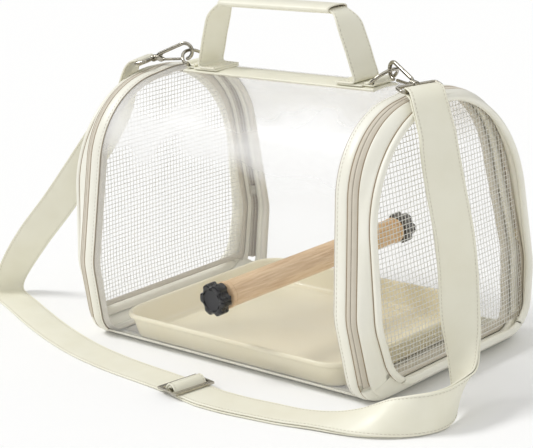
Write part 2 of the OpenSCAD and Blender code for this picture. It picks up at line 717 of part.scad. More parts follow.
module handle_webbing() color("ivory") {
    p = curve([for (q = bend_path) handle_point(q)], 2);
    n = len(p) - 1;
    inner = grip_w / 2 - grip_wall - gap;
    half = [for (q = p) let (t = max(0, min(1, (p[0][0] - q[0]) / (p[0][0] - grip_half - 3))))
        [0, half_w + (inner - half_w) * t, 0]];
    left = [for (i = [n : -1 : 0]) [-p[i][0], 0, p[i][2]]];
    ribbon(concat(p, left), concat(half, [for (i = [n : -1 : 0]) half[i]]), webbing_t);
}

// Padded sleeve round the webbing, open at both ends
module handle_grip() color("ivory") {
    top = handle_point(bend_path[len(bend_path) - 1])[2];
    translate([0, 0, top]) rotate([90, 0, 90]) linear_extrude(2 * grip_half, center = true) difference() {
        pad_section(grip_w, grip_t);
        pad_section(grip_w - 2 * grip_wall, grip_t - 2 * grip_wall);
    }
}

module pad_section(w, t) {
    square([w - t, t], center = true);
    for (s = [-1, 1]) translate([s * (w - t) / 2, 0]) circle(d = t, $fn = 32);
}

/* Strap */

function spread(v) = [for (q = v) unit(q) * half_w];

// Route stretched to the height of the loop's bar
function hung(p) = [for (q = p) [q[0], q[1], q[2] * bar_at[2] / route_top]];

// Route shifted across its own layers
function shifted(p, half, by) = [for (i = [0 : len(p) - 1]) let (
        along = unit(p[min(i + 1, len(p) - 1)] - p[max(i - 1, 0)]))
    p[i] + unit(cross(along, half[i])) * by];

// Half turn of webbing round the bar of a swivel loop, from its top down the inner side
function turn(a0, a1, n) = [for (i = [0 : n]) let (a = a0 + (a1 - a0) * i / n)
    bar_at + fold_r * (cos(a) * bar_out + [0, 0, sin(a)])];

// Point beside the bar, at a distance outwards from it, moved by [y, z]
function by_bar(out, y, z) = bar_at + out * bar_out + [0, y, z];

// Point at a distance along and a height above the adjuster's middle
function laced(x, z) = slider_pos + [x * cos(slider_turn), x * sin(slider_turn), z];

// Half widths for n points that run square to the strap's own line
function level(n) = [for (i = [1 : n]) half_w * bar_way];
function across_glide(n) = [for (i = [1 : n]) half_w * [-sin(slider_turn), cos(slider_turn), 0]];

module strap_right() color("ivory") {
    half = spread(curve(right_across, 2));
    bar_z = glide_z + glide_t / 2;
    wrap = [for (a = [60 : 42 : 270]) laced(glide_wrap_r * cos(a), bar_z + glide_wrap_r * sin(a))];
    start = concat(wrap, [laced(8, 1.9), laced(20, 1.3)]);
    fold = concat([by_bar(18.6, -5, -8.8), by_bar(9, -1.4, 0.7)], turn(90, 200, 5));
    ribbon(concat(start, shifted(hung(curve(right_route, 2)), half, -layer_gap / 2), fold),
        concat(across_glide(len(start)), half, level(len(fold))), webbing_t);
}

module strap_return() color("ivory") {
    half = spread(curve(right_across, 2));
    start = [for (i = [6 : len(lace) - 1]) laced(lace[i][0], lace[i][1])];
    fold = concat([by_bar(15.8, -5, -11.2), by_bar(8.2, -1.4, -5.4)], turn(270, 206, 3));
    ribbon(concat(start, shifted(hung(curve(right_route, 2)), half, layer_gap / 2), fold),
        concat(across_glide(len(start)), half, level(len(fold))), webbing_t);
}

module strap_left() color("ivory") {
    half = spread(curve(left_across, 2));
    bend = concat(turn(290, 60, 9), [by_bar(8.2, -0.6, 1), by_bar(15, -2, -7.5)]);
    top = [for (q = bend) [-q[0], q[1], q[2]]];
    across = [for (h = level(len(top))) [-h[0], h[1], h[2]]];
    route = hung(curve(left_route, 2));
    end = [for (i = [0 : 6]) laced(lace[i][0], lace[i][1])];
    ribbon(concat(top, route, end), concat(across, half, across_glide(len(end))),
        webbing_t);
}

// Flat frame with a middle bar that the strap is laced through
module strap_slider() color("dimgray") translate(slider_pos + [0, 0, glide_z]) rotate(slider_turn)
    linear_extrude(glide_t) difference() {
        square([glide_l, glide_w], center = true);
        window = (glide_l - glide_middle) / 2 - glide_bar;
        for (s = [-1, 1]) translate([s * (window + glide_middle) / 2, 0])
            square([window, glide_w - 5], center = true);
    }

floor_cover();
floor_board();
clear_tunnel();
edge_binding(-1);  // front_edge_binding
edge_binding(1);  // rear_edge_binding
end_binding(1);  // right_end_binding
end_binding(-1);  // left_end_binding
end_wire(1);  // right_end_wire
end_wire(-1);  // left_end_wire
wire_tape(1);  // right_wire_tape
wire_tape(-1);  // left_wire_tape
body_zip_tape(1);  // right_body_zip_tape
body_zip_tape(-1);  // left_body_zip_tape
door_zip_tape(1);  // right_door_zip_tape
door_zip_tape(-1);  // left_door_zip_tape
zip_slider(1);  // right_zip_slider
zip_slider(-1);  // left_zip_slider
zip_pull(1);  // right_zip_pull
zip_pull(-1);  // left_zip_pull
sill(1);  // right_sill
sill(-1);  // left_sill
door_band(1);  // right_door_band
door_band(-1);  // left_door_band
door_piping(1);  // right_door_piping
door_piping(-1);  // left_door_piping
door_wire(1);  // right_door_wire
door_wire(-1);  // left_door_wire
door_facing(1);  // right_door_facing
door_facing(-1);  // left_door_facing
door_net(1);  // right_door_net
door_net(-1);  // left_door_net
perch_dowel();
perch_washers();
perch_screws();
knob(-1);  // front_knob
knob(1);  // rear_knob
tray();
top_webbing();
ring_tabs();
d_ring(1);  // right_d_ring
d_ring(-1);  // left_d_ring
snap_hook(1);  // right_snap_hook
snap_hook(-1);  // left_snap_hook
hook_gate(1);  // right_hook_gate
hook_gate(-1);  // left_hook_gate
gate_pin(1);  // right_gate_pin
gate_pin(-1);  // left_gate_pin
swivel_loop(1);  // right_swivel_loop
swivel_loop(-1);  // left_swivel_loop
handle_feet();
handle_leg(1);  // handle_right_leg
handle_leg(-1);  // handle_left_leg
handle_webbing();
handle_grip();
strap_left();
strap_right();
strap_return();
strap_slider();
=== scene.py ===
# %% [markdown]
# # A soft travel carrier for a small bird
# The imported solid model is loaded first, and nothing in it is moved. Every surface below is
# worked out in millimetres from the same few sizes that the solids were made from, and is
# written into a mesh in metres, in the same frame.

# %% Load the fixed frame
import json
import math

import bpy
import bmesh
import numpy as np
from mathutils import Matrix, Vector

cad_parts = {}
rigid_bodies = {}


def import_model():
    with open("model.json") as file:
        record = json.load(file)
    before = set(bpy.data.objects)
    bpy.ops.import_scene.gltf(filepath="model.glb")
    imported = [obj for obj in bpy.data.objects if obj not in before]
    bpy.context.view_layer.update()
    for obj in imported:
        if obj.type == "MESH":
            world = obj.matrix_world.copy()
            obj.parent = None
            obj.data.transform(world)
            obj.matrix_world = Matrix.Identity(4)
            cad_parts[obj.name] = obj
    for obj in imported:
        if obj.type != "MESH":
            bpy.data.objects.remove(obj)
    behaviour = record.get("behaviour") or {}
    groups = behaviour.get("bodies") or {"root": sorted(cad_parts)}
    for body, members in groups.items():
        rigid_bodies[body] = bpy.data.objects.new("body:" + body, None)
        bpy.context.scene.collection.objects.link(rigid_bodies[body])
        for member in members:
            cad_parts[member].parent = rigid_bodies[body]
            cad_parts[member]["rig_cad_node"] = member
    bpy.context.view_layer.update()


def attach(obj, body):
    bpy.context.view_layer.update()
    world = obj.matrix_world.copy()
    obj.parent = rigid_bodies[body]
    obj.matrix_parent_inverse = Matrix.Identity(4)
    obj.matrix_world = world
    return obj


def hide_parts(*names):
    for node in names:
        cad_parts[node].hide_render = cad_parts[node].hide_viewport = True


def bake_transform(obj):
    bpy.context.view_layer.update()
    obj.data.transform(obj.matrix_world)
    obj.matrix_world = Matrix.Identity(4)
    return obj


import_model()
MM = 0.001

# %% [markdown]
# ## Camera
# The camera stands where the photograph was taken from: to the right of the front wall and a
# little above it, with a long lens. The three unit vectors are its right, its up and its back.

# %% Camera
TURN, LIFT, ROLL = math.radians(44.32), math.radians(15.55), math.radians(-4.16)
AIM = np.array([34.2, -78.9, 146.0])
DISTANCE, FOCAL_PX, FRAME_PX, SENSOR_MM = 1700.0, 1698.0, 533.0, 36.0

camera_back = np.array([math.sin(TURN) * math.cos(LIFT), -math.cos(TURN) * math.cos(LIFT),
                        math.sin(LIFT)])
level_right = np.cross(-camera_back, [0.0, 0.0, 1.0])
level_right /= np.linalg.norm(level_right)
level_up = np.cross(level_right, -camera_back)
camera_right = level_right * math.cos(ROLL) + level_up * math.sin(ROLL)
camera_up = level_up * math.cos(ROLL) - level_right * math.sin(ROLL)

eye = bpy.data.objects.new("camera", bpy.data.cameras.new("camera"))
bpy.context.scene.collection.objects.link(eye)
placing = Matrix.Identity(4)
for column, vector in enumerate((camera_right, camera_up, camera_back)):
    for row in range(3):
        placing[row][column] = vector[row]
placing.translation = Vector((AIM + camera_back * DISTANCE) * MM)
eye.matrix_world = placing
eye.data.sensor_width = SENSOR_MM
eye.data.lens = SENSOR_MM * FOCAL_PX / FRAME_PX
eye.data.clip_start, eye.data.clip_end = 0.05, 30.0
bpy.context.scene.camera = eye
print("camera at", [round(x, 3) for x in placing.translation])

# %% [markdown]
# ## Helpers for meshes
# A surface is a grid of points: one index runs along the piece and the other round or across
# it. The grid becomes quads, with a UV map in metres so that stitches, weave and grain can
# follow the surface. A closed shell gets its doubles merged and its faces turned outwards.

# %% Grids into meshes
def add_object(name, mesh):
    made = bpy.data.objects.new(name, mesh)
    bpy.context.scene.collection.objects.link(made)
    return made


def grid_faces(nu, nv, loop_u, loop_v, first=0):
    """Quads of a grid with nu rows of nv points: corner (i, j), (i+1, j), (i+1, j+1), (i, j+1)."""
    i, j = np.meshgrid(np.arange(nu if loop_u else nu - 1), np.arange(nv if loop_v else nv - 1),
                       indexing="ij")
    a, b = i * nv + j, (i + 1) % nu * nv + j
    c, d = (i + 1) % nu * nv + (j + 1) % nv, i * nv + (j + 1) % nv
    return np.stack([a, b, c, d], -1).reshape(-1, 4) + first


def mesh_of(name, parts):
    """One mesh from several parts, each (points in mm, faces, index of its material, UV)."""
    points, faces, which, base = [], [], [], 0
    for p, f, m, _ in parts:
        points.append(np.asarray(p, float).reshape(-1, 3))
        for g in f if isinstance(f, list) else [f]:
            faces.extend((np.asarray(g) + base).tolist())
            which.extend([m] * len(g))
        base += len(points[-1])
    mesh = bpy.data.meshes.new(name)
    mesh.from_pydata((np.concatenate(points) * MM).tolist(), [], faces)
    mesh.polygons.foreach_set("material_index", np.array(which, np.int32))
    mesh.polygons.foreach_set("use_smooth", [len(f) <= 4 for f in faces])
    corners = np.zeros(len(mesh.loops), np.int32)
    mesh.loops.foreach_get("vertex_index", corners)
    uv = np.concatenate([flat for _, _, _, flat in parts])[corners]
    mesh.uv_layers.new(name="cloth").data.foreach_set("uv", uv.ravel())
    mesh.update()
    return mesh


def close_shell(mesh):
    """Merges points within 0.01 mm of each other and turns every face outwards."""
    work = bmesh.new()
    work.from_mesh(mesh)
    bmesh.ops.remove_doubles(work, verts=work.verts, dist=0.01 * MM)
    bmesh.ops.recalc_face_normals(work, faces=work.faces)
    work.to_mesh(mesh)
    work.free()
    return mesh


def capped(rows, first=True, last=True):
    """Faces of a tube whose rows are closed loops, with an end closed where it is free."""
    nu, nv = rows.shape[:2]
    ends = [[list(range(nv))[::-1]]] * first + [[list(range((nu - 1) * nv, nu * nv))]] * last
    return [grid_faces(nu, nv, False, True)] + ends


def finish_piece(name, parts, body, finishes, slot, *nodes):
    """Makes a piece from its parts, gives it its finishes and sets it riding on a body, in
    place of the solid nodes that it shows."""
    piece = add_object(name, close_shell(mesh_of(name, parts)))
    for material in finishes:
        piece.data.materials.append(material)
    if body:
        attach(piece, body)
    if nodes:
        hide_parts(*nodes)
    return piece

# %% [markdown]
# ## The outline of the body
# Every ring of the carrier follows one outline: the curve that a thread pulled tight round four
# pairs of circles would take. For a direction a, the circle that reaches furthest that way
# gives the point. From the body (k = 0) to the door's ring (k = 1) the circles draw in, and the
# whole end leans towards the middle.

# %% Sizes in millimetres, the same as the solids
BODY_W, BODY_H, WINDOW_HALF, END_LEAN = 276.0, 280.0, 168.0, math.radians(3)
SEAT_X, SEAM_X, ZIP_MID_X, BAND_X, BAND_END_X = 173.0, 182.0, 187.0, 192.0, 204.0
PIPING_X, PIPING_R, NET_X, HINGE_Z = 207.5, 3.5, 195.5, 22.0
FILM_T, WEBBING_W, WEBBING_T, STRIP_Z = 0.8, 38.0, 2.0, 281.0
PERCH_X, PERCH_Z = 22.0, 84.0
RING_POINTS, FINE = 240, 360
CORE = np.array([0.0, 0.0, BODY_H * 0.45])


def taper(x):
    """Square of the way from the seam to the door band's end, held between 0 and 1."""
    way = (np.abs(x) - SEAM_X) / (BAND_END_X - SEAM_X)
    return np.clip(way, 0.0, 1.0) ** 2


def half_outline(k, depth):
    """Points [y, z] from the middle of the floor over the back to the crown.
    For each direction a: y = cy + (r - depth) cos a, z = cz + (r - depth) sin a, of the circle
    with the greatest cy cos a + cz sin a + r."""
    w, top, r = BODY_W / 2 - 14 * k, BODY_H - 4 * k, 28 + 12 * k
    circles = np.array([[w - 7 - r, 14 * k + r, r], [w - 60, 85, 60],
                        [26 - 14 * k, top - 3 - 95, 95], [0, top - 120, 120]])
    a = np.radians(np.linspace(-90, 90, 1441))
    best = np.argmax(circles[:, :1] * np.cos(a) + circles[:, 1:2] * np.sin(a) + circles[:, 2:], 0)
    y, z, r = circles[best].T
    return np.stack([y + (r - depth) * np.cos(a), z + (r - depth) * np.sin(a)], 1)


def evened(points, n, closed=False):
    """n points at equal distances along a line of points."""
    line = np.vstack([points, points[:1]]) if closed else points
    run = np.r_[0, np.cumsum(np.linalg.norm(np.diff(line, axis=0), axis=1))]
    at = np.linspace(0, run[-1], n + 1)[:-1] if closed else np.linspace(0, run[-1], n)
    return np.stack([np.interp(at, run, line[:, i]) for i in range(line.shape[1])], 1)


def outline(k, depth, n=RING_POINTS):
    """n points [y, z] round the whole outline, from the middle of the floor up the back."""
    back = half_outline(k, depth)
    back[0, 0] = back[-1, 0] = 0.0
    whole = np.vstack([back, back[-2:0:-1] * [-1, 1]])
    return evened(whole, n, closed=True)


def leaned(x, yz):
    """The end leans in: |x| shrinks by tan(lean) for each millimetre above mid height."""
    x = np.broadcast_to(x, yz.shape[:-1])
    away = np.abs(x) - math.tan(END_LEAN) * (yz[..., 1] - BODY_H / 2)
    return np.stack([np.sign(x) * away, yz[..., 0], yz[..., 1]], -1)


def ring(x, depth, cord=False, n=RING_POINTS):
    """The outline at station x, drawn in by a depth, as n points [x, y, z]."""
    return leaned(x, outline(1.0 if cord else float(taper(x)), depth, n))


def skin(section):
    """Grid (n, m, 3) of a band round the outline, from its section, a list of (x, depth)."""
    return np.stack([ring(x, depth, n=FINE) for x, depth in section], 1)


def at_side(side, grid):
    """The same piece at the right end (1), or mirrored to the left end (-1)."""
    return grid * np.array([side, 1.0, 1.0])


def part_at(side, part):
    return (at_side(side, part[0]), *part[1:])

# %% [markdown]
# ## UV maps, tubes and stitches
# A tube carries a circle along a path, on axes that are at right angles to it. A row of
# stitches repeats one small capsule, a few dozen faces, at equal steps along a seam, each end
# dipping into the cloth as sewing thread does.

# %% UV maps, tubes, lines and stitches
def cloth_uv(grid):
    """Lengths along and across a grid, in metres, for each of its points."""
    along = np.linalg.norm(np.diff(grid, axis=0), axis=2).mean(1)
    across = np.linalg.norm(np.diff(grid, axis=1), axis=2)
    u = np.broadcast_to(np.r_[0, np.cumsum(along)][:, None], grid.shape[:2])
    v = np.hstack([np.zeros((len(grid), 1)), np.cumsum(across, 1)])
    return np.stack([u, v], -1).reshape(-1, 2) * MM


def grid_part(grid, faces, material=0, side=1):
    """A part for a mesh: the points of a grid at one side, its faces and its UV map."""
    return at_side(side, grid), faces, material, cloth_uv(grid)


def open_part(grid, side=1, free=(True, True)):
    """A tube or a band, closed at its free ends."""
    return grid_part(grid, capped(grid, *free), 0, side)


def ring_part(grid, side=1):
    """A whole ring, closed on itself both ways."""
    return grid_part(grid, grid_faces(*grid.shape[:2], True, True), 0, side)


def unit(v):
    return v / np.maximum(np.linalg.norm(v, axis=-1, keepdims=True), 1e-9)


def smooth_line(points, steps):
    """Catmull-Rom curve through the points, with so many steps between neighbours."""
    p = np.asarray(points, float)
    p = np.vstack([p[:1], p, p[-1:]])
    t = (np.arange(steps) / steps)[None, :, None]
    a, b, c, d = (p[i:len(p) - 3 + i, None, :] for i in range(4))
    inner = b + 0.5 * t * ((c - a) + t * ((2 * a - 5 * b + 4 * c - d) + t * (3 * b - a - 3 * c + d)))
    return np.vstack([inner.reshape(-1, p.shape[1]), p[-2:-1]])


def directions(path, loop=False):
    """Unit tangents of a path, from each point's two neighbours."""
    if loop:
        return unit(np.roll(path, -1, 0) - np.roll(path, 1, 0))
    return unit(np.gradient(path, axis=0))


def length_of(line):
    return float(np.linalg.norm(np.diff(line[:, :3], axis=0), axis=1).sum())


def tube(path, radius, side=(1.0, 0.0, 0.0), sides=16, loop=False):
    """Grid of circles along a path: centre + r (n cos t + b sin t), where n is square to the
    path and to the given side direction, and b completes the axes. r may change on the way."""
    along = directions(path, loop)
    n = unit(np.cross(along, np.broadcast_to(side, along.shape)))
    b = np.cross(n, along)
    t = np.linspace(0, 2 * np.pi, sides, endpoint=False)[None, :, None]
    r = np.broadcast_to(radius, len(path))[:, None, None]
    return path[:, None] + r * (n[:, None] * np.cos(t) + b[:, None] * np.sin(t))


def capsules(centre, along, up, length, radius, sink=0.25, material=1):
    """One part of many small capsules: four rings of five points at shares -0.5, -0.3, 0.3 and
    0.5 of the length, the end rings a third as wide and sunk by a little."""
    share = np.array([-0.5, -0.3, 0.3, 0.5])
    on_end = (np.abs(share) == 0.5)[:, None, None]
    t = np.linspace(0, 2 * np.pi, 5, endpoint=False)[:, None] + 0.3
    middle, a, u, o = (v[:, None, None] for v in (centre, along, up, np.cross(along, up)))
    p = (middle + a * (share * length)[:, None, None] + u * np.where(on_end, -sink, 0.0)
         + np.where(on_end, 0.35, 1.0) * radius * (u * np.cos(t) + o * np.sin(t)))
    start = (np.arange(len(centre)) * 20)[:, None, None]
    faces = (grid_faces(4, 5, False, True)[None] + start).reshape(-1, 4)
    caps = (np.array([[4, 3, 2, 1, 0], [15, 16, 17, 18, 19]])[None] + start).reshape(-1, 5)
    flat = np.stack(np.meshgrid(share * length, t * radius, indexing="ij"), -1)
    uv = np.broadcast_to(flat, (len(centre), 4, 5, 2)).reshape(-1, 2) * MM
    return p.reshape(-1, 3), [faces, caps], material, uv


def stitches(path, normal, size, loop=False, sink=0.25, material=1):
    """A row of stitches of a size (length, gap, radius) at equal steps along a path, lying on
    the surface with that normal."""
    length, gap, radius = size
    count = max(2, int(length_of(np.vstack([path, path[:1]]) if loop else path) / (length + gap)))
    both = evened(np.hstack([path, np.broadcast_to(normal, path.shape)]), count, closed=loop)
    along, up = directions(both[:, :3], loop), unit(both[:, 3:])
    up = unit(up - along * (up * along).sum(1, keepdims=True))
    return capsules(both[:, :3], along, up, length, radius, sink, material)


WEB_STITCH, SKIN_STITCH, BOX_STITCH = (2.6, 1.2, 0.24), (2.7, 1.5, 0.27), (2.3, 1.1, 0.24)

# %% [markdown]
# ## Finishes
# Each finish is a small node tree on the Principled shader. Colour varies slowly with noise,
# roughness varies a little, and a fine bump gives the grain or weave its real scale. Patterns
# read Object coordinates, or the piece's own UV map where they follow the cloth.

# %% Node helpers
class Nodes:
    """A node tree, with short ways to add to it."""

    def __init__(self, tree):
        self.tree = tree

    def feed(self, socket, value):
        if isinstance(value, bpy.types.NodeSocket):
            self.tree.links.new(value, socket)
        else:
            socket.default_value = value

    def add(self, kind, settings=None, **inputs):
        """Adds a node, sets its own settings, and feeds its inputs by name."""
        made = self.tree.nodes.new("ShaderNode" + kind)
        for key, value in (settings or {}).items():
            setattr(made, key, value)
        for key, value in inputs.items():
            self.feed(made.inputs[key.replace("_", " ")], value)
        return made

    def calculate(self, operation, *values, clamp=False):
        made = self.add("Math", {"operation": operation, "use_clamp": clamp})
        for socket, value in zip(made.inputs, values):
            self.feed(socket, value)
        return made.outputs[0]

    def place(self, scale=(1, 1, 1), uv=False):
        """Object coordinates, or the piece's UV map, stretched by a scale for each axis."""
        source = self.add("TexCoord").outputs["UV" if uv else "Object"]
        return self.add("Mapping", Vector=source, Scale=scale).outputs["Vector"]

    def noise(self, size, detail=3.0, stretch=(1, 1, 1)):
        """Noise with blotches about so many metres across."""
        return self.add("TexNoise", Vector=self.place(stretch), Scale=1 / size,
                        Detail=detail).outputs["Fac"]

    def ramp(self, factor, low, high, a=0.0, b=1.0):
        """Value that goes from a to b as the factor goes from low to high."""
        return self.add("MapRange", Value=factor, From_Min=low, From_Max=high, To_Min=a,
                        To_Max=b).outputs["Result"]

    def blend(self, factor, *colours):
        """Mix of two colours, linear values."""
        made = self.add("Mix", {"data_type": "RGBA"}, Factor=factor)
        for socket, colour in zip(made.inputs[6:8], colours):
            self.feed(socket, (*colour, 1.0) if isinstance(colour, tuple) else colour)
        return made.outputs[2]


class Finish(Nodes):
    """A material with these values on its Principled shader."""

    def __init__(self, name, colour, roughness, **sockets):
        self.material = bpy.data.materials.new(name)
        self.material.use_nodes = True
        super().__init__(self.material.node_tree)
        self.shader = self.tree.nodes["Principled BSDF"]
        self.put(Base_Color=(*colour, 1.0), Roughness=roughness, **sockets)

    def put(self, **sockets):
        for socket, value in sockets.items():
            self.feed(self.shader.inputs[socket.replace("_", " ")], value)

    def rough(self, size, roughness, less, more, detail=3):
        """Roughness that wanders a little below and above its value."""
        self.put(Roughness=self.ramp(self.noise(size, detail), 0.3, 0.7, roughness - less,
                                     roughness + more))

    def raised(self, height, depth, strength=1.0):
        """Bump of so many metres from a height between 0 and 1. It gives the finished material."""
        self.put(Normal=self.add("Bump", Height=height, Strength=strength,
                                 Distance=depth).outputs["Normal"])
        return self.material

# %% [markdown]
# Leatherette is a smooth plastic skin on cloth: pale, satin, with a fine pebbled grain of about
# a millimetre and slow creases. The strap and the handle are cut from the same stuff.

# %% Leatherette
def leatherette(name, colour, shade, roughness, grain=0.0009):
    """Pale skin whose colour drifts to a shade, with a pebble of so many metres."""
    f = Finish(name, colour, roughness, Sheen_Weight=0.05, Coat_Weight=0.08, Coat_Roughness=0.35)
    f.put(Base_Color=f.blend(f.ramp(f.noise(0.035, 4), 0.35, 0.7), colour, shade))
    f.rough(0.012, roughness, 0.06, 0.07)
    pebble = f.add("TexVoronoi", {"feature": "SMOOTH_F1"}, Vector=f.place(), Scale=1 / grain,
                   Smoothness=0.6).outputs["Distance"]
    return f.raised(f.calculate("MULTIPLY_ADD", f.noise(0.006), 0.8, pebble), 0.00007)


IVORY = leatherette("ivory_leatherette", (0.90, 0.885, 0.785), (0.865, 0.845, 0.73), 0.38)
STRAP_SKIN = leatherette("strap_leatherette", (0.875, 0.855, 0.715), (0.84, 0.815, 0.665), 0.42,
                         0.0007)
LINING = leatherette("lining", (0.84, 0.81, 0.69), (0.80, 0.765, 0.64), 0.6, 0.0008)

# %% [markdown]
# Zipper tape, seam tape and thread are woven: two crossing sine waves in the UV map make the
# weave, and the weave's hollows are darkened as painted shade. The seam tape is the brown line that
# shows in every gap between two pale bands; its dark is partly the tape's own brown and partly
# painted shade of the gap.

# %% Woven finishes
def woven(name, colour, shade, pitch, roughness=0.75):
    """Cloth with threads so many metres apart both ways, its hollows darkened to the shade colour as
    painted shade.
    """
    f = Finish(name, colour, roughness, Sheen_Weight=0.15)
    flat = f.add("SeparateXYZ", Vector=f.place(uv=True)).outputs
    waves = [f.calculate("SINE", f.calculate("MULTIPLY", flat[axis], math.pi / pitch)) for axis in "XY"]
    height = f.calculate("MULTIPLY_ADD", f.calculate("MULTIPLY", *waves), 0.5, 0.5)
    patchy = f.ramp(f.noise(0.01), 0.3, 0.7, -0.15, 0.15)
    # painted shade: the colour falls to the shade colour in the weave's hollows, where the bump is low,
    # with random patches on top
    f.put(Base_Color=f.blend(f.calculate("ADD", height, patchy, clamp=True), shade, colour))
    return f.raised(height, 0.00012)


# the second colour of each is the painted shade of its weave's hollows
TAPE = woven("zipper_tape", (0.72, 0.665, 0.56), (0.60, 0.545, 0.44), 0.0007)
SLEEVE = woven("wire_sleeve", (0.78, 0.745, 0.66), (0.70, 0.66, 0.57), 0.0007)
# the seam tape's dark brown is partly its own colour and partly painted shade of the gap between two
# bands
SEAM_AND_GAP_SHADE = woven("seam_tape_and_gap_shade", (0.44, 0.335, 0.22), (0.33, 0.24, 0.15), 0.0006)
THREAD = woven("sewing_thread", (0.74, 0.70, 0.60), (0.62, 0.57, 0.46), 0.0003, 0.6)
COIL = woven("zipper_coil", (0.36, 0.29, 0.21), (0.26, 0.20, 0.14), 0.0005, 0.45)
MESH_THREAD = woven("mesh_thread", (0.90, 0.89, 0.84), (0.82, 0.81, 0.75), 0.0004, 0.7)

# %% [markdown]
# The window is clear vinyl, under a millimetre thick. It is drawn mostly see-through, with its
# gloss rising where it is looked at sideways, which Layer Weight gives, and a wavy band of painted
# white reflection high on the arch. Nickel, wood and the two moulded plastics follow: the wood's
# rings are noise drawn out along the perch.

# %% Film, metal, wood and plastics
def clear_film():
    """Share of white = gloss at a slant + soft waves of painted white reflection, strongest near z =
    0.235 m.
    """
    f = Finish("clear_vinyl", (1.0, 1.0, 0.995), 0.16, IOR=1.4)
    slant = f.ramp(f.add("LayerWeight", Blend=0.25).outputs["Facing"], 0.0, 1.0, 0.02, 0.3)
    height = f.add("SeparateXYZ", Vector=f.place()).outputs["Z"]
    painted_glare_height = f.calculate("MULTIPLY_ADD", f.noise(0.07, 1.0), 0.075, height)
    # painted reflection: a wavy band of white on the film high up, standing in for the glare of the
    # lights
    band = f.calculate("MULTIPLY", f.ramp(painted_glare_height, 0.236, 0.262), f.ramp(painted_glare_height, 0.272, 0.312, 1.0, 0.0))
    f.put(Alpha=f.calculate("MULTIPLY_ADD", band, 0.34, slant, clamp=True))
    f.material.blend_method = "BLEND"
    return f.raised(f.noise(0.05, 2), 0.0006, 0.35)


def nickel(name, colour, roughness):
    """Polished plate with fine scuffs in its roughness."""
    f = Finish(name, colour, roughness, Metallic=1.0)
    f.put(Roughness=f.ramp(f.noise(0.0015, 4), 0.45, 0.7, roughness, roughness + 0.14))
    dull = tuple(0.78 * c for c in colour)
    f.put(Base_Color=f.blend(f.ramp(f.noise(0.004), 0.4, 0.75), colour, dull))
    return f.raised(f.noise(0.0008, 2), 0.000012)


def beech():
    """Wood whose fine and broad streaks run along the perch."""
    f = Finish("beech", (0.74, 0.49, 0.25), 0.45)
    streak, broad = f.noise(0.0012, 4, (1, 0.045, 1)), f.noise(0.008, 2, (1, 0.08, 1))
    tone = f.blend(f.ramp(streak, 0.38, 0.64), (0.60, 0.35, 0.15), (0.82, 0.57, 0.31))
    f.put(Base_Color=f.blend(f.ramp(broad, 0.35, 0.65, 0.0, 0.45), tone, (0.88, 0.65, 0.38)),
          Roughness=f.ramp(streak, 0.3, 0.7, 0.55, 0.38))
    return f.raised(streak, 0.00008)


def moulded(name, colour, shade, roughness, grain=0.0006, depth=0.00002, coat=0.0):
    """Plastic with a faint mould texture and a slow change of tone."""
    f = Finish(name, colour, roughness, Coat_Weight=coat)
    f.put(Base_Color=f.blend(f.ramp(f.noise(0.04), 0.35, 0.7), colour, shade))
    f.rough(0.008, roughness, 0.04, 0.06)
    return f.raised(f.noise(grain, 2), depth)


FILM = clear_film()
NICKEL = nickel("polished_nickel", (0.46, 0.43, 0.36), 0.1)
WIRE = nickel("spring_wire", (0.42, 0.41, 0.40), 0.3)
BEECH = beech()
TRAY_CREAM = moulded("cream_plastic", (0.92, 0.855, 0.64), (0.90, 0.825, 0.60), 0.34, coat=0.1)
KNOB_BLACK = moulded("black_plastic", (0.010, 0.010, 0.011), (0.015, 0.015, 0.016), 0.24, coat=0.15)
KNOB_DISC = moulded("dark_grey_plastic", (0.028, 0.028, 0.031), (0.022, 0.022, 0.025), 0.42, 0.0004,
                    0.00004)
BOARD = moulded("stiff_board", (0.60, 0.585, 0.55), (0.55, 0.53, 0.49), 0.7)

# %% [markdown]
# ## The shoulder strap
# The strap is one long band of leatherette webbing, folded double on the right. It starts sewn
# round the middle bar of its adjuster, runs to the right swivel loop, turns round it, comes
# back on top of itself, passes over the adjuster's bar and goes on to the left loop. It lies
# on the floor in front of the carrier and is limp. The line of each layer is the one that the
# solids follow, made smooth, and the band is carried along it with its edges rounded and a
# stitched groove near each edge.

# %% Where the strap turns round the swivel loops
GAP = 0.3
HOOK_TILT, HOOK_YAW = math.radians(11.5), math.radians(20)
RING_BAR, RING_R, RING_TILT = np.array([128.0, 0.0, 285.1]), 17.8, math.radians(40)
RISE, LEVEL = np.array([0.0, 0.0, 1.0]), np.array([0.0, 1.0, 0.0])
# the hook points down and to the front: its own long axis, its width and its height
BAR_OUT = np.array([math.cos(HOOK_YAW), -math.sin(HOOK_YAW), 0.0])
BAR_WAY = np.array([math.sin(HOOK_YAW), math.cos(HOOK_YAW), 0.0])
HOOK_WAY = BAR_OUT * math.cos(HOOK_TILT) - RISE * math.sin(HOOK_TILT)
HOOK_UP = BAR_OUT * math.sin(HOOK_TILT) + RISE * math.cos(HOOK_TILT)
RING_WAY = np.array([math.cos(RING_TILT), 0.0, math.sin(RING_TILT)])
HOOK_AT = RING_BAR + RING_R * RING_WAY + (8.5 - 4.25 / math.cos(HOOK_YAW)) * HOOK_WAY
LOOP_X, LOOP_LEN, LOOP_R = 39.8, 12.0, 1.8
BAR_AT = HOOK_AT + (LOOP_X + LOOP_LEN) * HOOK_WAY
FOLD_R = LOOP_R + GAP + WEBBING_T / 2
GLIDE_AT, GLIDE_TURN, GLIDE_Z, GLIDE_T = np.array([16.0, -190.0, 0.0]), math.radians(-9), 5.2, 2.4
LAYER_GAP = WEBBING_T + 0.6
print("strap turns round", np.round(BAR_AT, 2), "at radius", FOLD_R)


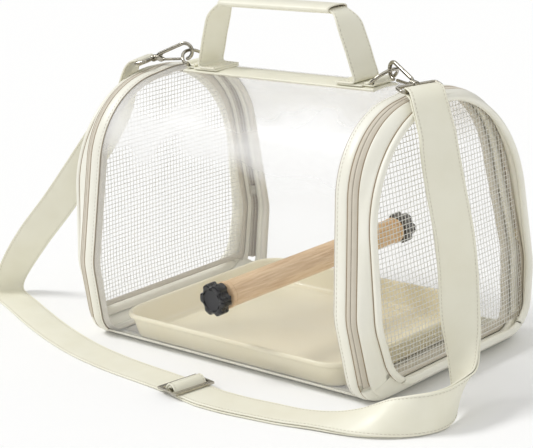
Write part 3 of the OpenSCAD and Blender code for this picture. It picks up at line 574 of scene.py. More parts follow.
def turned(first, last, n):
    """Points of a turn of webbing round the loop's bar, from one angle to another in degrees."""
    a = np.radians(np.linspace(first, last, n + 1))[:, None]
    return BAR_AT + FOLD_R * (BAR_OUT * np.cos(a) + RISE * np.sin(a))


def by_bar(out, y, z):
    """A point at a distance outwards from the loop's bar, moved by [y, z]."""
    return BAR_AT + out * BAR_OUT + [0.0, y, z]


def laced(x, z):
    """Points at distances along and heights above the adjuster's middle."""
    x, z = np.broadcast_arrays(np.asarray(x, float), np.asarray(z, float))
    return GLIDE_AT + np.stack([x * math.cos(GLIDE_TURN), x * math.sin(GLIDE_TURN), z], -1)


ACROSS_GLIDE = [-math.sin(GLIDE_TURN), math.cos(GLIDE_TURN), 0.0]
LACE = np.array([[-19, 1.6], [-12, 2.6], [-10, 3.6], [-6.5, 8.4], [-3.5, 11.4], [-1, 12.2], [0, 12.2],
                 [1, 12.2], [3.5, 11.5], [6.5, 8.4], [9, 4.6], [10.8, 3.9], [18, 3.9]])

# %% The two routes and how the band lies across them
RIGHT_ROUTE = [[54, -195.5, 2.6], [85, -195, 2.6], [120, -191, 2.6], [155, -186, 2.6],
               [190, -178, 4.8], [222, -173, 10.2], [250, -167, 17], [273, -153, 19.6],
               [286, -131, 20], [286, -106, 23], [276, -82, 34], [262, -63, 55], [252, -52, 85],
               [247, -46, 120], [243, -44, 155], [237, -44, 190], [230, -42, 222], [222.5, -37, 250]]
RIGHT_ACROSS = [[0.1, 1, 0], [0.1, 1, 0], [0.14, 1, 0], [0.18, 1, 0], [0.2, 1, 0.1],
                [0.15, 0.9, 0.4], [0.1, 0.6, 0.8], [0, 0.25, 1], [0, 0, 1], [0.25, -0.1, 0.95],
                [0.7, -0.1, 0.5], [0.92, 0.05, 0.15], [0.84, 0.5, 0], [0.74, 0.67, 0],
                [0.72, 0.69, 0], [0.69, 0.72, 0], [0.56, 0.83, 0], [0.4, 0.92, 0]]
LEFT_ROUTE = [[-217, -27, 252], [-232, -27, 232], [-253, -30, 205], [-277, -36, 175],
              [-302, -45, 143], [-328, -55, 110], [-354, -66, 79], [-379, -73, 48], [-395, -79, 22],
              [-396, -85, 6], [-380, -92, 1.6], [-350, -103, 1.2], [-310, -119, 1.2],
              [-260, -138, 1.2], [-205, -156, 1.2], [-150, -170, 1.2], [-90, -179, 1.2],
              [-40, -183, 1.2], [-14, -185.3, 1.4]]
LEFT_ACROSS = [[-0.2, 0.95, -0.15], [0.1, 0.88, -0.35], [0.4, 0.75, -0.5], [0.58, 0.55, -0.6],
               [0.66, 0.44, -0.62], [0.66, 0.42, -0.62], [0.62, 0.5, -0.6], [0.5, 0.7, -0.45],
               [0.35, 0.9, -0.25], [0.3, 0.93, -0.05], [0.3, 0.94, 0], [0.33, 0.94, 0],
               [0.36, 0.93, 0], [0.33, 0.94, 0], [0.27, 0.96, 0], [0.2, 0.98, 0], [0.13, 0.99, 0],
               [0.12, 1, 0], [0.15, 1, 0]]


def lifted(points, across, by):
    """A line moved square to the band by so many millimetres: p + by (along x across)."""
    return points + by * unit(np.cross(directions(points), across))


def with_way(line):
    """A line of [x, y, z, ax, ay, az] with the unit vector along it added to each row."""
    return np.hstack([line[:, :6], directions(line[:, :3])])


def strap_line(*stretches):
    """Joins stretches of (points, across) and draws one smooth line through them, a row
    every 2.5 mm or so: [x, y, z, ax, ay, az, and the unit vector along it]."""
    points = np.vstack([p for p, _ in stretches])
    across = unit(np.vstack([np.broadcast_to(a, p.shape) for p, a in stretches]))
    fine = smooth_line(np.hstack([points, across]), 6)
    return with_way(evened(fine, int(length_of(fine) / 2.5)))


def frame_of(line):
    """Points, unit vectors across and unit vectors up of a line; up = along x across."""
    w = unit(line[:, 3:6])
    return line[:, :3], w, unit(np.cross(line[:, 6:9], w))


right_points = smooth_line(RIGHT_ROUTE, 2)
right_across = unit(smooth_line(RIGHT_ACROSS, 2))
wrap_angle = np.radians(np.arange(60, 271, 42))
wrap_r = math.hypot(3.4, GLIDE_T) / 2 + GAP + WEBBING_T / 2
wrap = laced(wrap_r * np.cos(wrap_angle), GLIDE_Z + GLIDE_T / 2 + wrap_r * np.sin(wrap_angle))
first = np.vstack([wrap, laced([8, 20], [1.9, 1.3])])


def two_layers(start, by, end):
    """A layer of the doubled run, moved square to the route by so many millimetres."""
    return strap_line((start, ACROSS_GLIDE), (lifted(right_points, right_across, by), right_across),
                      (np.vstack(end), BAR_WAY))


RIGHT_LINE = two_layers(first, -LAYER_GAP / 2,
                        [by_bar(18.6, -5, -8.8), by_bar(9, -1.4, 0.7), turned(90, 200, 5)])
RETURN_LINE = two_layers(laced(*LACE[6:].T), LAYER_GAP / 2,
                         [by_bar(15.8, -5, -11.2), by_bar(8.2, -1.4, -5.4), turned(270, 206, 3)])
first = np.vstack([turned(290, 60, 9), by_bar(8.2, -0.6, 1), by_bar(15, -2, -7.5)]) * [-1, 1, 1]
LEFT_LINE = strap_line((first, BAR_WAY * [-1, 1, 1]),
                       (smooth_line(LEFT_ROUTE, 2), unit(smooth_line(LEFT_ACROSS, 2))),
                       (laced(*LACE[:7].T), ACROSS_GLIDE))[::-1]

# %% [markdown]
# The band's section is a flat shape with round edges: 38 mm by 2 mm, with a groove 0.25 mm deep
# pressed in by the stitching, 2.4 mm from each edge. Each layer is cut into three pieces, at the
# places where the adjuster slides along it and where it turns round the loop on the hook.

# %% Webbing along a line
EDGE_ROW, ON_FACE = 2.4, WEBBING_T / 2 - 0.12


def band_section(half, thick):
    """Loop of points [across, up] of flat webbing, anticlockwise, grooved on both faces."""
    edge = thick * 0.42
    a = np.radians(np.linspace(-90, 90, 7))
    turn = np.stack([half - edge + edge * np.cos(a), (thick / 2) * np.sin(a)], 1)
    u = np.array([half - 1.5, half - 2.0, half - 2.4, half - 2.8, half - 3.4, half * 0.62,
                  half * 0.3, 0.0])
    u = np.r_[u, -u[-2::-1]]
    inside = half - EDGE_ROW
    dip = 0.25 * np.exp(-((np.abs(u) - inside) / 0.45) ** 2)
    swell = 0.12 * np.cos(np.pi * np.clip(np.abs(u) / inside, 0, 1))
    face = np.stack([u, thick / 2 - dip + 0.5 * swell - 0.06], 1)
    return np.vstack([turn, face, turn * [-1, -1], face * [-1, -1]])


def webbing(line, half=WEBBING_W / 2, thick=WEBBING_T, share=1.0):
    """Grid of the band along a line: p + share u across + v up, with up = along x across."""
    u, v = band_section(half, thick).T[:, None, :, None]
    p, w, up = (a[:, None] for a in frame_of(line))
    return p + w * u * np.broadcast_to(share, len(line))[:, None, None] + up * v


def sewn_band(rows, free, half=WEBBING_W / 2, stitched=(slice(None),)):
    """Parts of a length of webbing, whose half width may change along it, with its stitches."""
    half = np.broadcast_to(half, len(rows))[:, None]
    parts = [open_part(webbing(rows, share=half[:, 0] / (WEBBING_W / 2)), 1, free)]
    p, w, up = frame_of(rows)
    for face in (-1, 1):
        for edge in (-1, 1):
            row = p + w * edge * (half - EDGE_ROW) + up * face * ON_FACE
            parts += [stitches(row[end], up[end] * face, WEB_STITCH) for end in stitched]
    return parts

# %% Straps, each layer in three pieces
def lay_strap(node, line, to_adjuster, fold=36.0):
    """Three pieces of one layer: by the adjuster, up to the hook, and the fold round the loop."""
    run = np.r_[0, np.cumsum(np.linalg.norm(np.diff(line[:, :3], axis=0), axis=1))]
    # rows shared by two pieces, so that they meet without a gap
    stops = (0.0, to_adjuster, length_of(line) - fold, run[-1])
    row = [int(np.argmin(np.abs(run - stop))) for stop in stops]
    rows = [line[row[i]:row[i + 1] + 1] for i in range(3)]
    low, high, turn = [finish_piece(f"{node}_{label}", sewn_band(stretch, free), None,
                                    (STRAP_SKIN, THREAD), "ivory", node)
                       for label, stretch, free in (("low", rows[0], (True, False)),
                                                    ("high", rows[1], (False, False)),
                                                    ("fold", rows[2], (False, True)))]
    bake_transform(low)
    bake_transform(high)
    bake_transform(turn)
    print(node, "is", round(length_of(line)), "mm long:", *(round(length_of(r)) for r in rows))


lay_strap("strap_right", RIGHT_LINE, 300.0)
lay_strap("strap_return", RETURN_LINE, 300.0)
lay_strap("strap_left", LEFT_LINE, 330.0)

# %% [markdown]
# ## The two sewn ends
# Each end is a stack of bands sewn edge to edge: the binding that holds the film, a zipper, the
# band of the door, and a corded piping at the rim. Every band is a section, drawn as a short
# list of (station, depth), carried round the outline. A band is pillowed, thin at its seams and
# full between them, and a brown seam line lies in each valley, its dark partly painted shade of
# the seam's gap. What is below the hinge stays with the carrier, and the rest goes with the door,
# so a band is split there.

# %% Bands round the outline
SIDES = (("right", 1), ("left", -1))


def split_at_hinge(grid, above):
    """The rows of a ring on one side of the hinge line, with the rows that cross it moved to
    end exactly there. Rows run from the middle of the floor up the back and over."""
    z = grid[..., 2].mean(1)
    limit = HINGE_Z + GAP if above else HINGE_Z - GAP
    inside = z > limit if above else z < limit
    start = int(np.argmax(inside & ~np.roll(inside, 1)))
    rows = (start + np.arange(inside.sum())) % len(grid)
    ends = []
    for last, beyond in ((rows[0], rows[0] - 1), (rows[-1], (rows[-1] + 1) % len(grid))):
        a, b = grid[last], grid[beyond]
        rise = b[:, 2] - a[:, 2]
        t = (limit - a[:, 2]) / np.where(np.abs(rise) < 1e-9, 1e-9, rise)
        ends.append(a + (b - a) * np.clip(t, 0, 1)[:, None])
    return np.concatenate([ends[:1], grid[rows], ends[1:]])


def out_of(grid_line):
    """Unit directions out of the body along a line round it."""
    out = grid_line - CORE
    along = directions(grid_line, True)
    out[:, 0] = 0
    return unit(out - along * (out * along).sum(1, keepdims=True))


def seam_line(x, depth, r=0.5):
    """A thin round line lying in a seam: brown thread, dark also as painted shade of the seam's gap."""
    line = ring(x, depth)
    return tube(line, r, sides=6, loop=True)

# %% Binding of the film, with its seams and stitches
for side, s in SIDES:
    section = [(WINDOW_HALF, 0.9), (WINDOW_HALF + 0.25, 0.25), (WINDOW_HALF + 1.2, -0.05),
               (170.0, 0.05), (170.9, 0.3), (171.8, 0.0), (174.5, -0.45), (178.0, -0.4), (180.5, 0.0),
               (181.5, 0.5), (SEAM_X, 1.3), (SEAM_X, 4.4), (SEAT_X, 4.4), (SEAT_X, 2.0),
               (SEAT_X, 1.25), (WINDOW_HALF, 1.2)]
    row = at_side(s, ring(170.9, 0.12, n=FINE))
    finish_piece(f"{side}_binding_skin", [ring_part(skin(section), s),
                                          stitches(row, out_of(row), SKIN_STITCH, loop=True)],
                 "carrier", (IVORY, THREAD), "leatherette", f"{side}_end_binding")
    # painted shade: these brown lines stand partly for the shadow in the gaps between the bands
    lines = [seam_line(SEAM_X + 0.2, 0.75, 0.5), seam_line(WINDOW_HALF - 0.15, 0.75, 0.3)]
    finish_piece(f"{side}_binding_seam", [ring_part(line, s) for line in lines], "carrier", (SEAM_AND_GAP_SHADE,),
                 "seam")
    tape = [(163.0, 6.2), (163.0, 5.0), (166.2, 4.95), (166.6, 2.3), (167.0, 2.1), (169.0, 2.1),
            (169.4, 2.3), (169.8, 4.9), (SEAT_X - 0.05, 4.9), (SEAT_X - 0.05, 6.2)]
    finish_piece(f"{side}_wire_sleeve", [ring_part(skin(tape), s)], "carrier", (SLEEVE,), "seam",
                 f"{side}_wire_tape")
print("binding is", round(length_of(ring(SEAT_X, 0, n=FINE))), "mm round")

# %% [markdown]
# ## Zippers
# The zipper is a reverse coil: from outside only two woven tapes show, meeting along a fine
# dark line, and the coil is on the inside. The coil is a spiral of thread, so each half is
# a row of small loops across the tape, one for each turn.

# %% Zipper tapes and coils
def coil_row(x0, x1, depth, pitch=1.9):
    """Capsules across the tape between two stations, one for each turn of the coil."""
    a, b = ring(x0, depth, n=1200), ring(x1, depth, n=1200)
    keep = a[:, 2] > HINGE_Z + 1.0
    start = int(np.argmax(keep & ~np.roll(keep, 1)))
    order = (start + np.arange(keep.sum())) % len(a)
    run = np.linalg.norm(np.diff(a[order], axis=0), axis=1).sum()
    both = evened(np.hstack([a[order], b[order]]), int(run / pitch))
    a, b = both[:, :3], both[:, 3:]
    centre, along = (a + b) / 2, unit(b - a)
    out = centre - CORE
    out[:, 0] = 0
    return centre, along, unit(out)


MEET = 0.32
for side, s in SIDES:
    for half, sign, body, far in (("body", -1, "carrier", SEAM_X - 0.4),
                                  ("door", 1, f"{side}_door", BAND_X + 0.4)):
        near = ZIP_MID_X + sign * MEET
        section = [(near, 0.62), (near + sign * 0.25, 0.42), (near + sign * 2.2, 0.5),
                   (far - sign * 1.0, 0.75), (far, 1.1), (far, 1.9), (near + sign * 1.0, 1.8),
                   (near, 1.6)]
        turns = capsules(*coil_row(near + sign * 0.35, near + sign * 2.6, 2.15), 2.7, 0.72, 0.35)
        finish_piece(f"{side}_{half}_zipper", [open_part(split_at_hinge(skin(section), True), s),
                                               part_at(s, turns)],
                     body, (TAPE, COIL), "tape", f"{side}_{half}_zip_tape")
    line = split_at_hinge(seam_line(ZIP_MID_X, 1.25, 0.4), True)
    finish_piece(f"{side}_zipper_line", [open_part(line, s)], "carrier", (COIL,), "tape")

# %% [markdown]
# ## Doors
# The door's band and its piping are cut at the hinge line, where the sleeve of the end folds.
# The piping is leatherette over a cord and a spring wire, pulled tight, so it is a smooth round
# tube. Inside it a facing, pale first and taupe behind a dotted seam, leads back to the mesh.

# %% Door bands and sills
BAND_AT, BAND_EDGE = BAND_X + 0.35, BAND_END_X + 0.2
edge_roll = [(BAND_END_X - 1.6, 0.0), (BAND_END_X - 0.6, 0.4), (BAND_EDGE, 1.2), (BAND_EDGE, 2.4)]
band = skin([(BAND_AT, 2.4), (BAND_AT, 1.2), (BAND_AT + 0.4, 0.55), (BAND_AT + 1.4, 0.05),
             (BAND_AT + 4.0, -0.35), (BAND_AT + 7.5, -0.35)] + edge_roll)
shelf = skin([(SEAM_X + 0.1, 2.4), (SEAM_X + 0.1, 1.0), (SEAM_X + 0.5, 0.5), (SEAM_X + 1.4, 0.1),
              (187.0, -0.2), (190.6, 0.1), (191.4, 0.45), (191.9, 1.0), (192.3, 0.45), (193.2, 0.1),
              (196.0, -0.25), (200.0, -0.3)] + edge_roll + [(196.0, 2.4)])
cord = tube(ring(PIPING_X, PIPING_R, cord=True, n=FINE), PIPING_R, sides=18, loop=True)
lines = [seam_line(BAND_X + 0.1, 0.85, 0.45), seam_line(BAND_END_X + 0.45, 0.95, 0.45)]
inner = skin([(PIPING_X - 2.6, 5.4), (BAND_END_X, 4.9), (201.0, 4.75), (200.5, 5.15), (200.0, 4.8),
              (197.5, 4.9), (NET_X + 0.7, 5.2), (NET_X + 0.7, 6.3), (200.0, 6.3),
              (PIPING_X - 2.6, 6.3)])
dotted = ring(200.5, 4.95, n=FINE)


def lay_end(side, s, above):
    """The bands of one end above the hinge, on the door, or below it, on the carrier."""
    def cut(grid):
        return open_part(split_at_hinge(grid, above), s)

    name, body = (f"{side}_door", f"{side}_door") if above else (f"{side}_sill", "carrier")
    nodes = [f"{side}_door_piping", f"{side}_door_facing"] if above else []
    finish_piece(f"{name}_band_skin", [cut(band if above else shelf)], body, (IVORY, THREAD),
                 "leatherette", f"{side}_door_band" if above else name)
    finish_piece(f"{name}_piping_skin", [cut(cord)], body, (IVORY,), "leatherette", *nodes[:1])
    # the brown seam lines are partly painted shade of the gaps between the bands
    finish_piece(f"{name}_seams", [cut(line) for line in (lines if above else lines[1:])], body,
                 (SEAM_AND_GAP_SHADE,), "seam")
    rows = split_at_hinge(dotted[:, None], above)[:, 0]
    inward = -unit((rows - CORE) * [0, 1, 1])
    finish_piece(f"{name}_facing_skin", [cut(inner), stitches(at_side(s, rows), inward,
                                                              (2.4, 1.7, 0.34), sink=0.3)],
                 body, (LINING, COIL), "leatherette", *nodes[1:])


for side, s in SIDES:
    lay_end(side, s, True)
    lay_end(side, s, False)

# %% [markdown]
# ## Mesh of the doors
# The doors are a fine woven mesh, two sets of threads that pass over and under each other every
# 4.75 mm. The cloth is sewn in with some fullness, so it swells outwards by a few millimetres,
# most of all low down. Each thread is a four-sided tube along its own line of that surface.

# %% Mesh
PITCH, THREAD_R, WEAVE = 4.75, 0.38, 0.32


def swell(y, z):
    """How far the mesh stands out of its plane: 9 mm low down, less above, none at its hem."""
    u = np.clip(1 - (np.abs(y) / (BODY_W / 2 - 16)) ** 4, 0, 1)
    v = np.clip(1 - ((z - 105) / 158) ** 4, 0, 1)
    return u * v * (4.0 + 5.0 * np.exp(-((z - 62) / 60) ** 2))


def mesh_surface(y, z, over):
    """Point of the mesh at [y, z], raised by the weave where the thread passes over."""
    x = NET_X + swell(y, z) + over
    return leaned(x, np.stack([y, z], -1))


def inside_span(polygon, value, axis):
    """Lowest and highest crossing of a closed outline with a line at one coordinate."""
    a, b = polygon, np.roll(polygon, -1, 0)
    hit = (a[:, axis] - value) * (b[:, axis] - value) < 0
    if not hit.any():
        return None
    t = (value - a[hit, axis]) / (b[hit, axis] - a[hit, axis])
    other = a[hit, 1 - axis] + t * (b[hit, 1 - axis] - a[hit, 1 - axis])
    return float(other.min()), float(other.max())


def mesh_threads():
    """Grids of all the threads of one door, at the right end."""
    edge = outline(float(taper(NET_X)), 7.0)
    edge[:, 1] = np.maximum(edge[:, 1], HINGE_Z + 4)
    parts = []
    for axis, reach in ((0, BODY_W / 2), (1, BODY_H)):
        for k in range(-60, 61):
            value = (k + 0.5) * PITCH
            span = inside_span(edge, value, axis) if abs(value) < reach else None
            if span is None or span[1] - span[0] < 3:
                continue
            first, last = math.ceil(span[0] / PITCH - 0.5), math.floor(span[1] / PITCH - 0.5)
            nodes = (np.arange(first, last + 1) + 0.5) * PITCH
            along = np.unique(np.r_[span[0], np.sort(np.r_[nodes, nodes[:-1] + PITCH / 2]), span[1]])
            phase = np.where(np.isin(along, nodes), np.cos(np.pi * (along / PITCH + k + axis)), 0.0)
            across = np.full_like(along, value)
            y, z = (across, along) if axis == 0 else (along, across)
            parts.append(tube(mesh_surface(y, z, WEAVE * phase), THREAD_R, sides=4))
    return parts


net_threads = mesh_threads()
hem = skin([(NET_X - 0.7, 3.7), (NET_X + 0.1, 3.4), (NET_X + 0.8, 3.7), (NET_X + 1.0, 7.0),
            (NET_X + 0.8, 10.0), (NET_X + 0.1, 10.5), (NET_X - 0.6, 10.0), (NET_X - 0.8, 7.0)])
y, turn = np.meshgrid(np.linspace(-119, 119, 60), np.arange(6) * math.pi / 3, indexing="ij")
foot = leaned(NET_X + 0.9 * np.cos(turn), np.stack([y, HINGE_Z + 4.4 + 3.6 * np.sin(turn)], -1))
for side, s in SIDES:
    finish_piece(f"{side}_mesh", [open_part(grid, s) for grid in net_threads], f"{side}_door",
                 (MESH_THREAD,), "net", f"{side}_door_net")
    finish_piece(f"{side}_mesh_hem", [open_part(split_at_hinge(hem, True), s), open_part(foot, s)],
                 f"{side}_door", (TAPE,), "net")
print("threads in one door:", len(net_threads))

# %% [markdown]
# ## Clear tunnel
# One sheet of clear vinyl goes from the floor's front edge over the top to its rear edge. It is
# almost invisible apart from its reflections, so it is a single smooth sheet, given its
# thickness by a Solidify modifier.

# %% Film
film_line = outline(0.0, 1.6, 480)
film_line = film_line[np.argsort(np.arctan2(film_line[:, 1] - 120, -film_line[:, 0]) % (2 * np.pi))]
film_line = film_line[(film_line[:, 1] > 3.4)]
lowest = int(np.argmin(np.where(film_line[:, 0] > 0, film_line[:, 1], 1e9)))
film_line = evened(np.roll(film_line, -lowest, 0), 260)
stations = np.linspace(-SEAT_X + 0.1, SEAT_X - 0.1, 41)
ends_in = math.tan(END_LEAN) * (film_line[:, 1] - BODY_H / 2) / SEAT_X
film_grid = np.stack([np.column_stack([x * (1 - ends_in), film_line]) for x in stations], 1)
film = finish_piece("film", [grid_part(film_grid, grid_faces(*film_grid.shape[:2], False, False))],
                    "carrier", (FILM,), "film", "clear_tunnel")
solidify = film.modifiers.new("thickness", "SOLIDIFY")
solidify.thickness, solidify.offset = FILM_T * MM, 0.0
print("film is", round(length_of(film_line)), "mm from foot to foot")

# %% [markdown]
# ## Floor
# The floor is a stiff board in a leatherette cover. Along the front and the rear a strip is
# folded over the film's foot and stitched. These are flat plates with rolled edges, drawn as
# nested loops, and a strip that follows the outline's corner.

# %% Rounded plates
def plate_loops(half_x, half_y, corner, rows, per_corner=8):
    """Nested loops of a rounded rectangle; each row is (drawn in by, height)."""
    a = np.radians(np.linspace(0, 90, per_corner) + 90 * np.arange(4)[:, None])
    way = np.stack([np.cos(a), np.sin(a)], -1)
    middle = np.array([[1, 1], [-1, 1], [-1, -1], [1, -1]])[:, None] * (half_x - corner, half_y - corner)
    flat = np.stack([way * max(corner - depth, 0.05) + middle for depth, _ in rows])
    flat = flat.reshape(len(rows), -1, 2)
    height = np.broadcast_to(np.array(rows)[:, 1:, None], (*flat.shape[:2], 1))
    return np.concatenate([flat, height], -1)


def plate_part(grid):
    return grid, capped(grid), 0, grid.reshape(-1, 3)[:, :2] * MM


def carried(stations, loops):
    """Grid of a loop of points [y, z] at each station x; each may have a loop of its own."""
    loops = np.broadcast_to(loops, (len(stations), *np.shape(loops)[-2:]))
    x = np.broadcast_to(np.asarray(stations)[:, None, None], (*loops.shape[:2], 1))
    return np.concatenate([x, loops], -1)


def foot_strip(depth, top, start=103.0):
    """The outline's corner at a depth, from a distance off the middle up to a height."""
    line = half_outline(0.0, depth)
    line = line[(line[:, 0] > start) & (line[:, 1] < top)]
    return line[np.argsort(line[:, 1] + 0.001 * line[:, 0])]


cover = plate_loops(174.5, 102.9, 2.0, [(3.0, 0.0), (0.5, 0.0), (0.0, 0.35), (0.0, 0.85), (0.5, 1.2),
                                        (3.0, 1.2)])
finish_piece("floor_cover_skin", [plate_part(cover)], "carrier", (LINING,), "leatherette",
             "floor_cover")
EDGE_X, BOARD_X, EDGE_TOP = 174.4, 169.8, 8.6
face = evened(np.vstack([[103.0, 0.0], foot_strip(0.0, EDGE_TOP)]), 18)
back = evened(np.vstack([[103.0, 1.2], foot_strip(1.2, EDGE_TOP)]), 18)[::-1]
loop = np.vstack([face, (face[-1:] + back[:1]) / 2 + [0.0, 0.5], back])
low = np.vstack([evened(foot_strip(1.3, 3.3, 104.0), 10), [[115.0, 3.3], [104.0, 3.3]]])
seam_y, seam_z = face[np.argmin(np.abs(face[:, 1] - 6.4))] + [0.02, 0.0]
for name, s in (("front", -1), ("rear", 1)):
    rows = np.linspace([-EDGE_X + 3, s * seam_y, seam_z], [EDGE_X - 3, s * seam_y, seam_z], 200)
    finish_piece(f"{name}_edge_skin",
                 [open_part(carried(np.linspace(-EDGE_X, EDGE_X, 60), loop * [s, 1])),
                  open_part(carried(np.linspace(-BOARD_X, BOARD_X, 12), low * [s, 1])),
                  stitches(rows, unit(np.array([0.0, s, -0.8])), SKIN_STITCH)],
                 "carrier", (IVORY, THREAD), "leatherette", f"{name}_edge_binding")

# %% [markdown]
# ## Tray
# The tray is thin moulded plastic with a drafted wall, generous corners and a rounded rim. Its
# profile is a short curve, and nested loops carry it round the corners.

# %% Tray
TRAY_HALF = (159.0, 121.0)
TRAY_Z, TRAY_H = 4.3, 27.0
rim = smooth_line([(4.6, TRAY_H - 8), (4.2, TRAY_H - 6.6), (2.2, TRAY_H - 5.4), (0.6, TRAY_H - 4.6),
                   (0.0, TRAY_H - 3), (0.55, TRAY_H - 1.1), (2.1, TRAY_H - 0.05), (3.8, TRAY_H - 0.3),
                   (5.0, TRAY_H - 1.6), (5.9, TRAY_H - 4)], 3)
profile = np.vstack([[(26, 0.0), (13.0, 0.0), (11.2, 0.0), (10.0, 0.5), (9.2, 1.4), (8.9, 3.0)], rim,
                     [(8.0, 14.0), (10.2, 6.6), (10.9, 4.4), (11.8, 3.0), (13.2, 2.2), (15.5, 2.0),
                      (20.0, 2.0), (22.0, 2.0), (22.6, 2.5), (23.4, 2.5), (24.2, 2.0), (28, 2.0)]])
tray_grid = plate_loops(*TRAY_HALF, 30.0, [(d, TRAY_Z + h) for d, h in profile], 14)
finish_piece("tray_body", [plate_part(tray_grid)], "tray", (TRAY_CREAM,), "tray", "tray")

# %% [markdown]
# ## Perch and knobs
# The perch is a turned beech dowel with a loose wooden washer at each end. A profile is turned
# round its axis. The knobs are six-lobed: the radius round the axis is the rim circle, cut back
# by six smaller circles, with both edges rolled, and a recessed disc in the outer face.

# %% Turned parts
def turned_round(profile, place, steps=72):
    """Grid of a profile of (radius, height) turned round an axis; place maps [x, y, height]."""
    t = np.linspace(0, 2 * np.pi, steps, endpoint=False)
    r, h = np.asarray(profile, float).T[..., None]
    return place(np.stack([r * np.cos(t), r * np.sin(t), np.broadcast_to(h, (len(h), steps))], -1))


def on_perch(s):
    """Local frame at a side wall: height points out of the body along the perch."""
    def place(q):
        return np.stack([PERCH_X + q[..., 0], s * q[..., 2], PERCH_Z + s * q[..., 1]], -1)
    return place


ROD = [(0.01, 128.7), (3.0, 128.7), (9.0, 128.7), (12.9, 128.7), (13.5, 128.1), (13.5, 127.2),
       (13.5, 60)]
rod = turned_round([(r, -h) for r, h in ROD] + [(13.5, 0)] + ROD[::-1], on_perch(1))
finish_piece("perch_rod", [open_part(rod)], "carrier", (BEECH,), "wood", "perch_dowel")
WASHER = [(2.1, 129.0), (13.4, 129.0), (13.9, 129.4), (14.1, 130.2), (14.1, 132.9), (13.9, 133.6),
          (13.4, 134.0), (2.1, 134.0), (2.1, 131.0)]
washers = [ring_part(turned_round(WASHER, on_perch(s))) for s in (-1, 1)]
finish_piece("perch_rings", washers, "carrier", (BEECH,), "wood", "perch_washers")


def knob_radius(t, inset):
    """Rim of the knob: the circle of 17 mm, cut by six circles of 5 mm centred 19.2 mm out,
    with the corner between them softened."""
    reach, cut_r, rim_r, soft = 19.2, 5.0 + inset, 17.0 - inset, 1.4
    angle = (t + math.pi / 6) % (math.pi / 3) - math.pi / 6
    angle = angle - np.sign(angle) * math.pi / 6
    beside = reach * np.sin(angle)
    under = np.maximum(cut_r ** 2 - beside ** 2, 0.0)
    groove = np.where(np.abs(beside) < cut_r, reach * np.cos(angle) - np.sqrt(under), 60.0)
    share = np.clip(0.5 + 0.5 * (groove - rim_r) / soft, 0, 1)
    return groove * (1 - share) + rim_r * share - soft * share * (1 - share)


KNOB_Y = 137.1
# rows of the knob as (radius, height), or for the lobes (inset from the rim, height)
KNOB_BACK = [(2.3, 0.0), (7.6, 0.0), (8.0, 0.4), (8.0, 1.7), (8.4, 2.1)]
KNOB_LOBES = [(3.0, 2.2), (1.2, 2.35), (0.35, 2.9), (0.0, 3.9), (0.0, 8.0), (0.0, 12.4), (0.35, 13.9),
              (1.1, 14.7), (2.3, 15.0), (3.6, 15.0)]
KNOB_WELL = [(11.5, 15.0), (11.05, 14.7), (11.0, 14.0), (10.7, 13.8)]
DISC = [(10.7, 13.8), (9.8, 13.95), (8.5, 13.8), (5.0, 13.8), (0.6, 13.8)]
t = np.linspace(0, 2 * np.pi, 144, endpoint=False)


def knob_rows(rows):
    return np.stack([np.stack([r * np.cos(t), r * np.sin(t), np.full_like(t, KNOB_Y + h)], -1)
                     for r, h in rows])


lobes = [(knob_radius(t, inset), h) for inset, h in KNOB_LOBES]
for name, s in (("front_knob", -1), ("rear_knob", 1)):
    body, disc = (on_perch(s)(knob_rows(rows)) for rows in (KNOB_BACK + lobes + KNOB_WELL, DISC))
    finish_piece(f"{name}_body", [open_part(body, free=(True, False)),
                                  grid_part(disc, capped(disc, False), 1)],
                 name, (KNOB_BLACK, KNOB_DISC), "black", name)

# %% [markdown]
# ## Top webbing, tabs and rings
# A strip of webbing lies along the ridge and carries the load of the handle and the rings. At
# each end a short tab is turned round the ring's bar and sewn down.

# %% Strip on the ridge and tabs
WEB_END, CROWN, STITCH_Y = 132.1, 0.0039, WEBBING_W / 2 - EDGE_ROW
v = np.linspace(-1, 1, 25)
arch = STRIP_Z - CROWN * (v * 19) ** 2
face = np.stack([v * 19.0, arch - 0.55 * np.abs(v) ** 24
                 - 0.22 * np.exp(-((np.abs(v * 19) - STITCH_Y) / 0.45) ** 2)], 1)
under = np.stack([v * 18.6, arch - 2.1], 1)[::-1]
x = np.r_[-WEB_END, -WEB_END + 0.25, np.linspace(-WEB_END + 1.2, WEB_END - 1.2, 80), WEB_END - 0.25,
          WEB_END]
low = np.r_[0.5, 0.12, np.zeros(80), 0.12, 0.5]
parts = [open_part(carried(x, np.vstack([face, under]) - low[:, None, None] * [0, 1]))]
seam_z = STRIP_Z - CROWN * STITCH_Y ** 2 - 0.15
for y in (-STITCH_Y, STITCH_Y):
    rows = np.linspace([-WEB_END + 2, y, seam_z], [WEB_END - 2, y, seam_z], 120)
    parts.append(stitches(rows, RISE, WEB_STITCH))
finish_piece("ridge_strip", parts, "carrier", (STRAP_SKIN, THREAD), "ivory", "top_webbing")


def stitched_box(x0, x1, half_y, z):
    """A sewn rectangle with its two diagonals, as on a strap's end."""
    corners = [(x0, -half_y, z), (x1, -half_y, z), (x1, half_y, z), (x0, half_y, z)]
    pairs = [(0, 1), (1, 2), (2, 3), (3, 0), (0, 2), (1, 3)]
    return [stitches(np.linspace(corners[a], corners[b], 12), RISE, BOX_STITCH) for a, b in pairs]


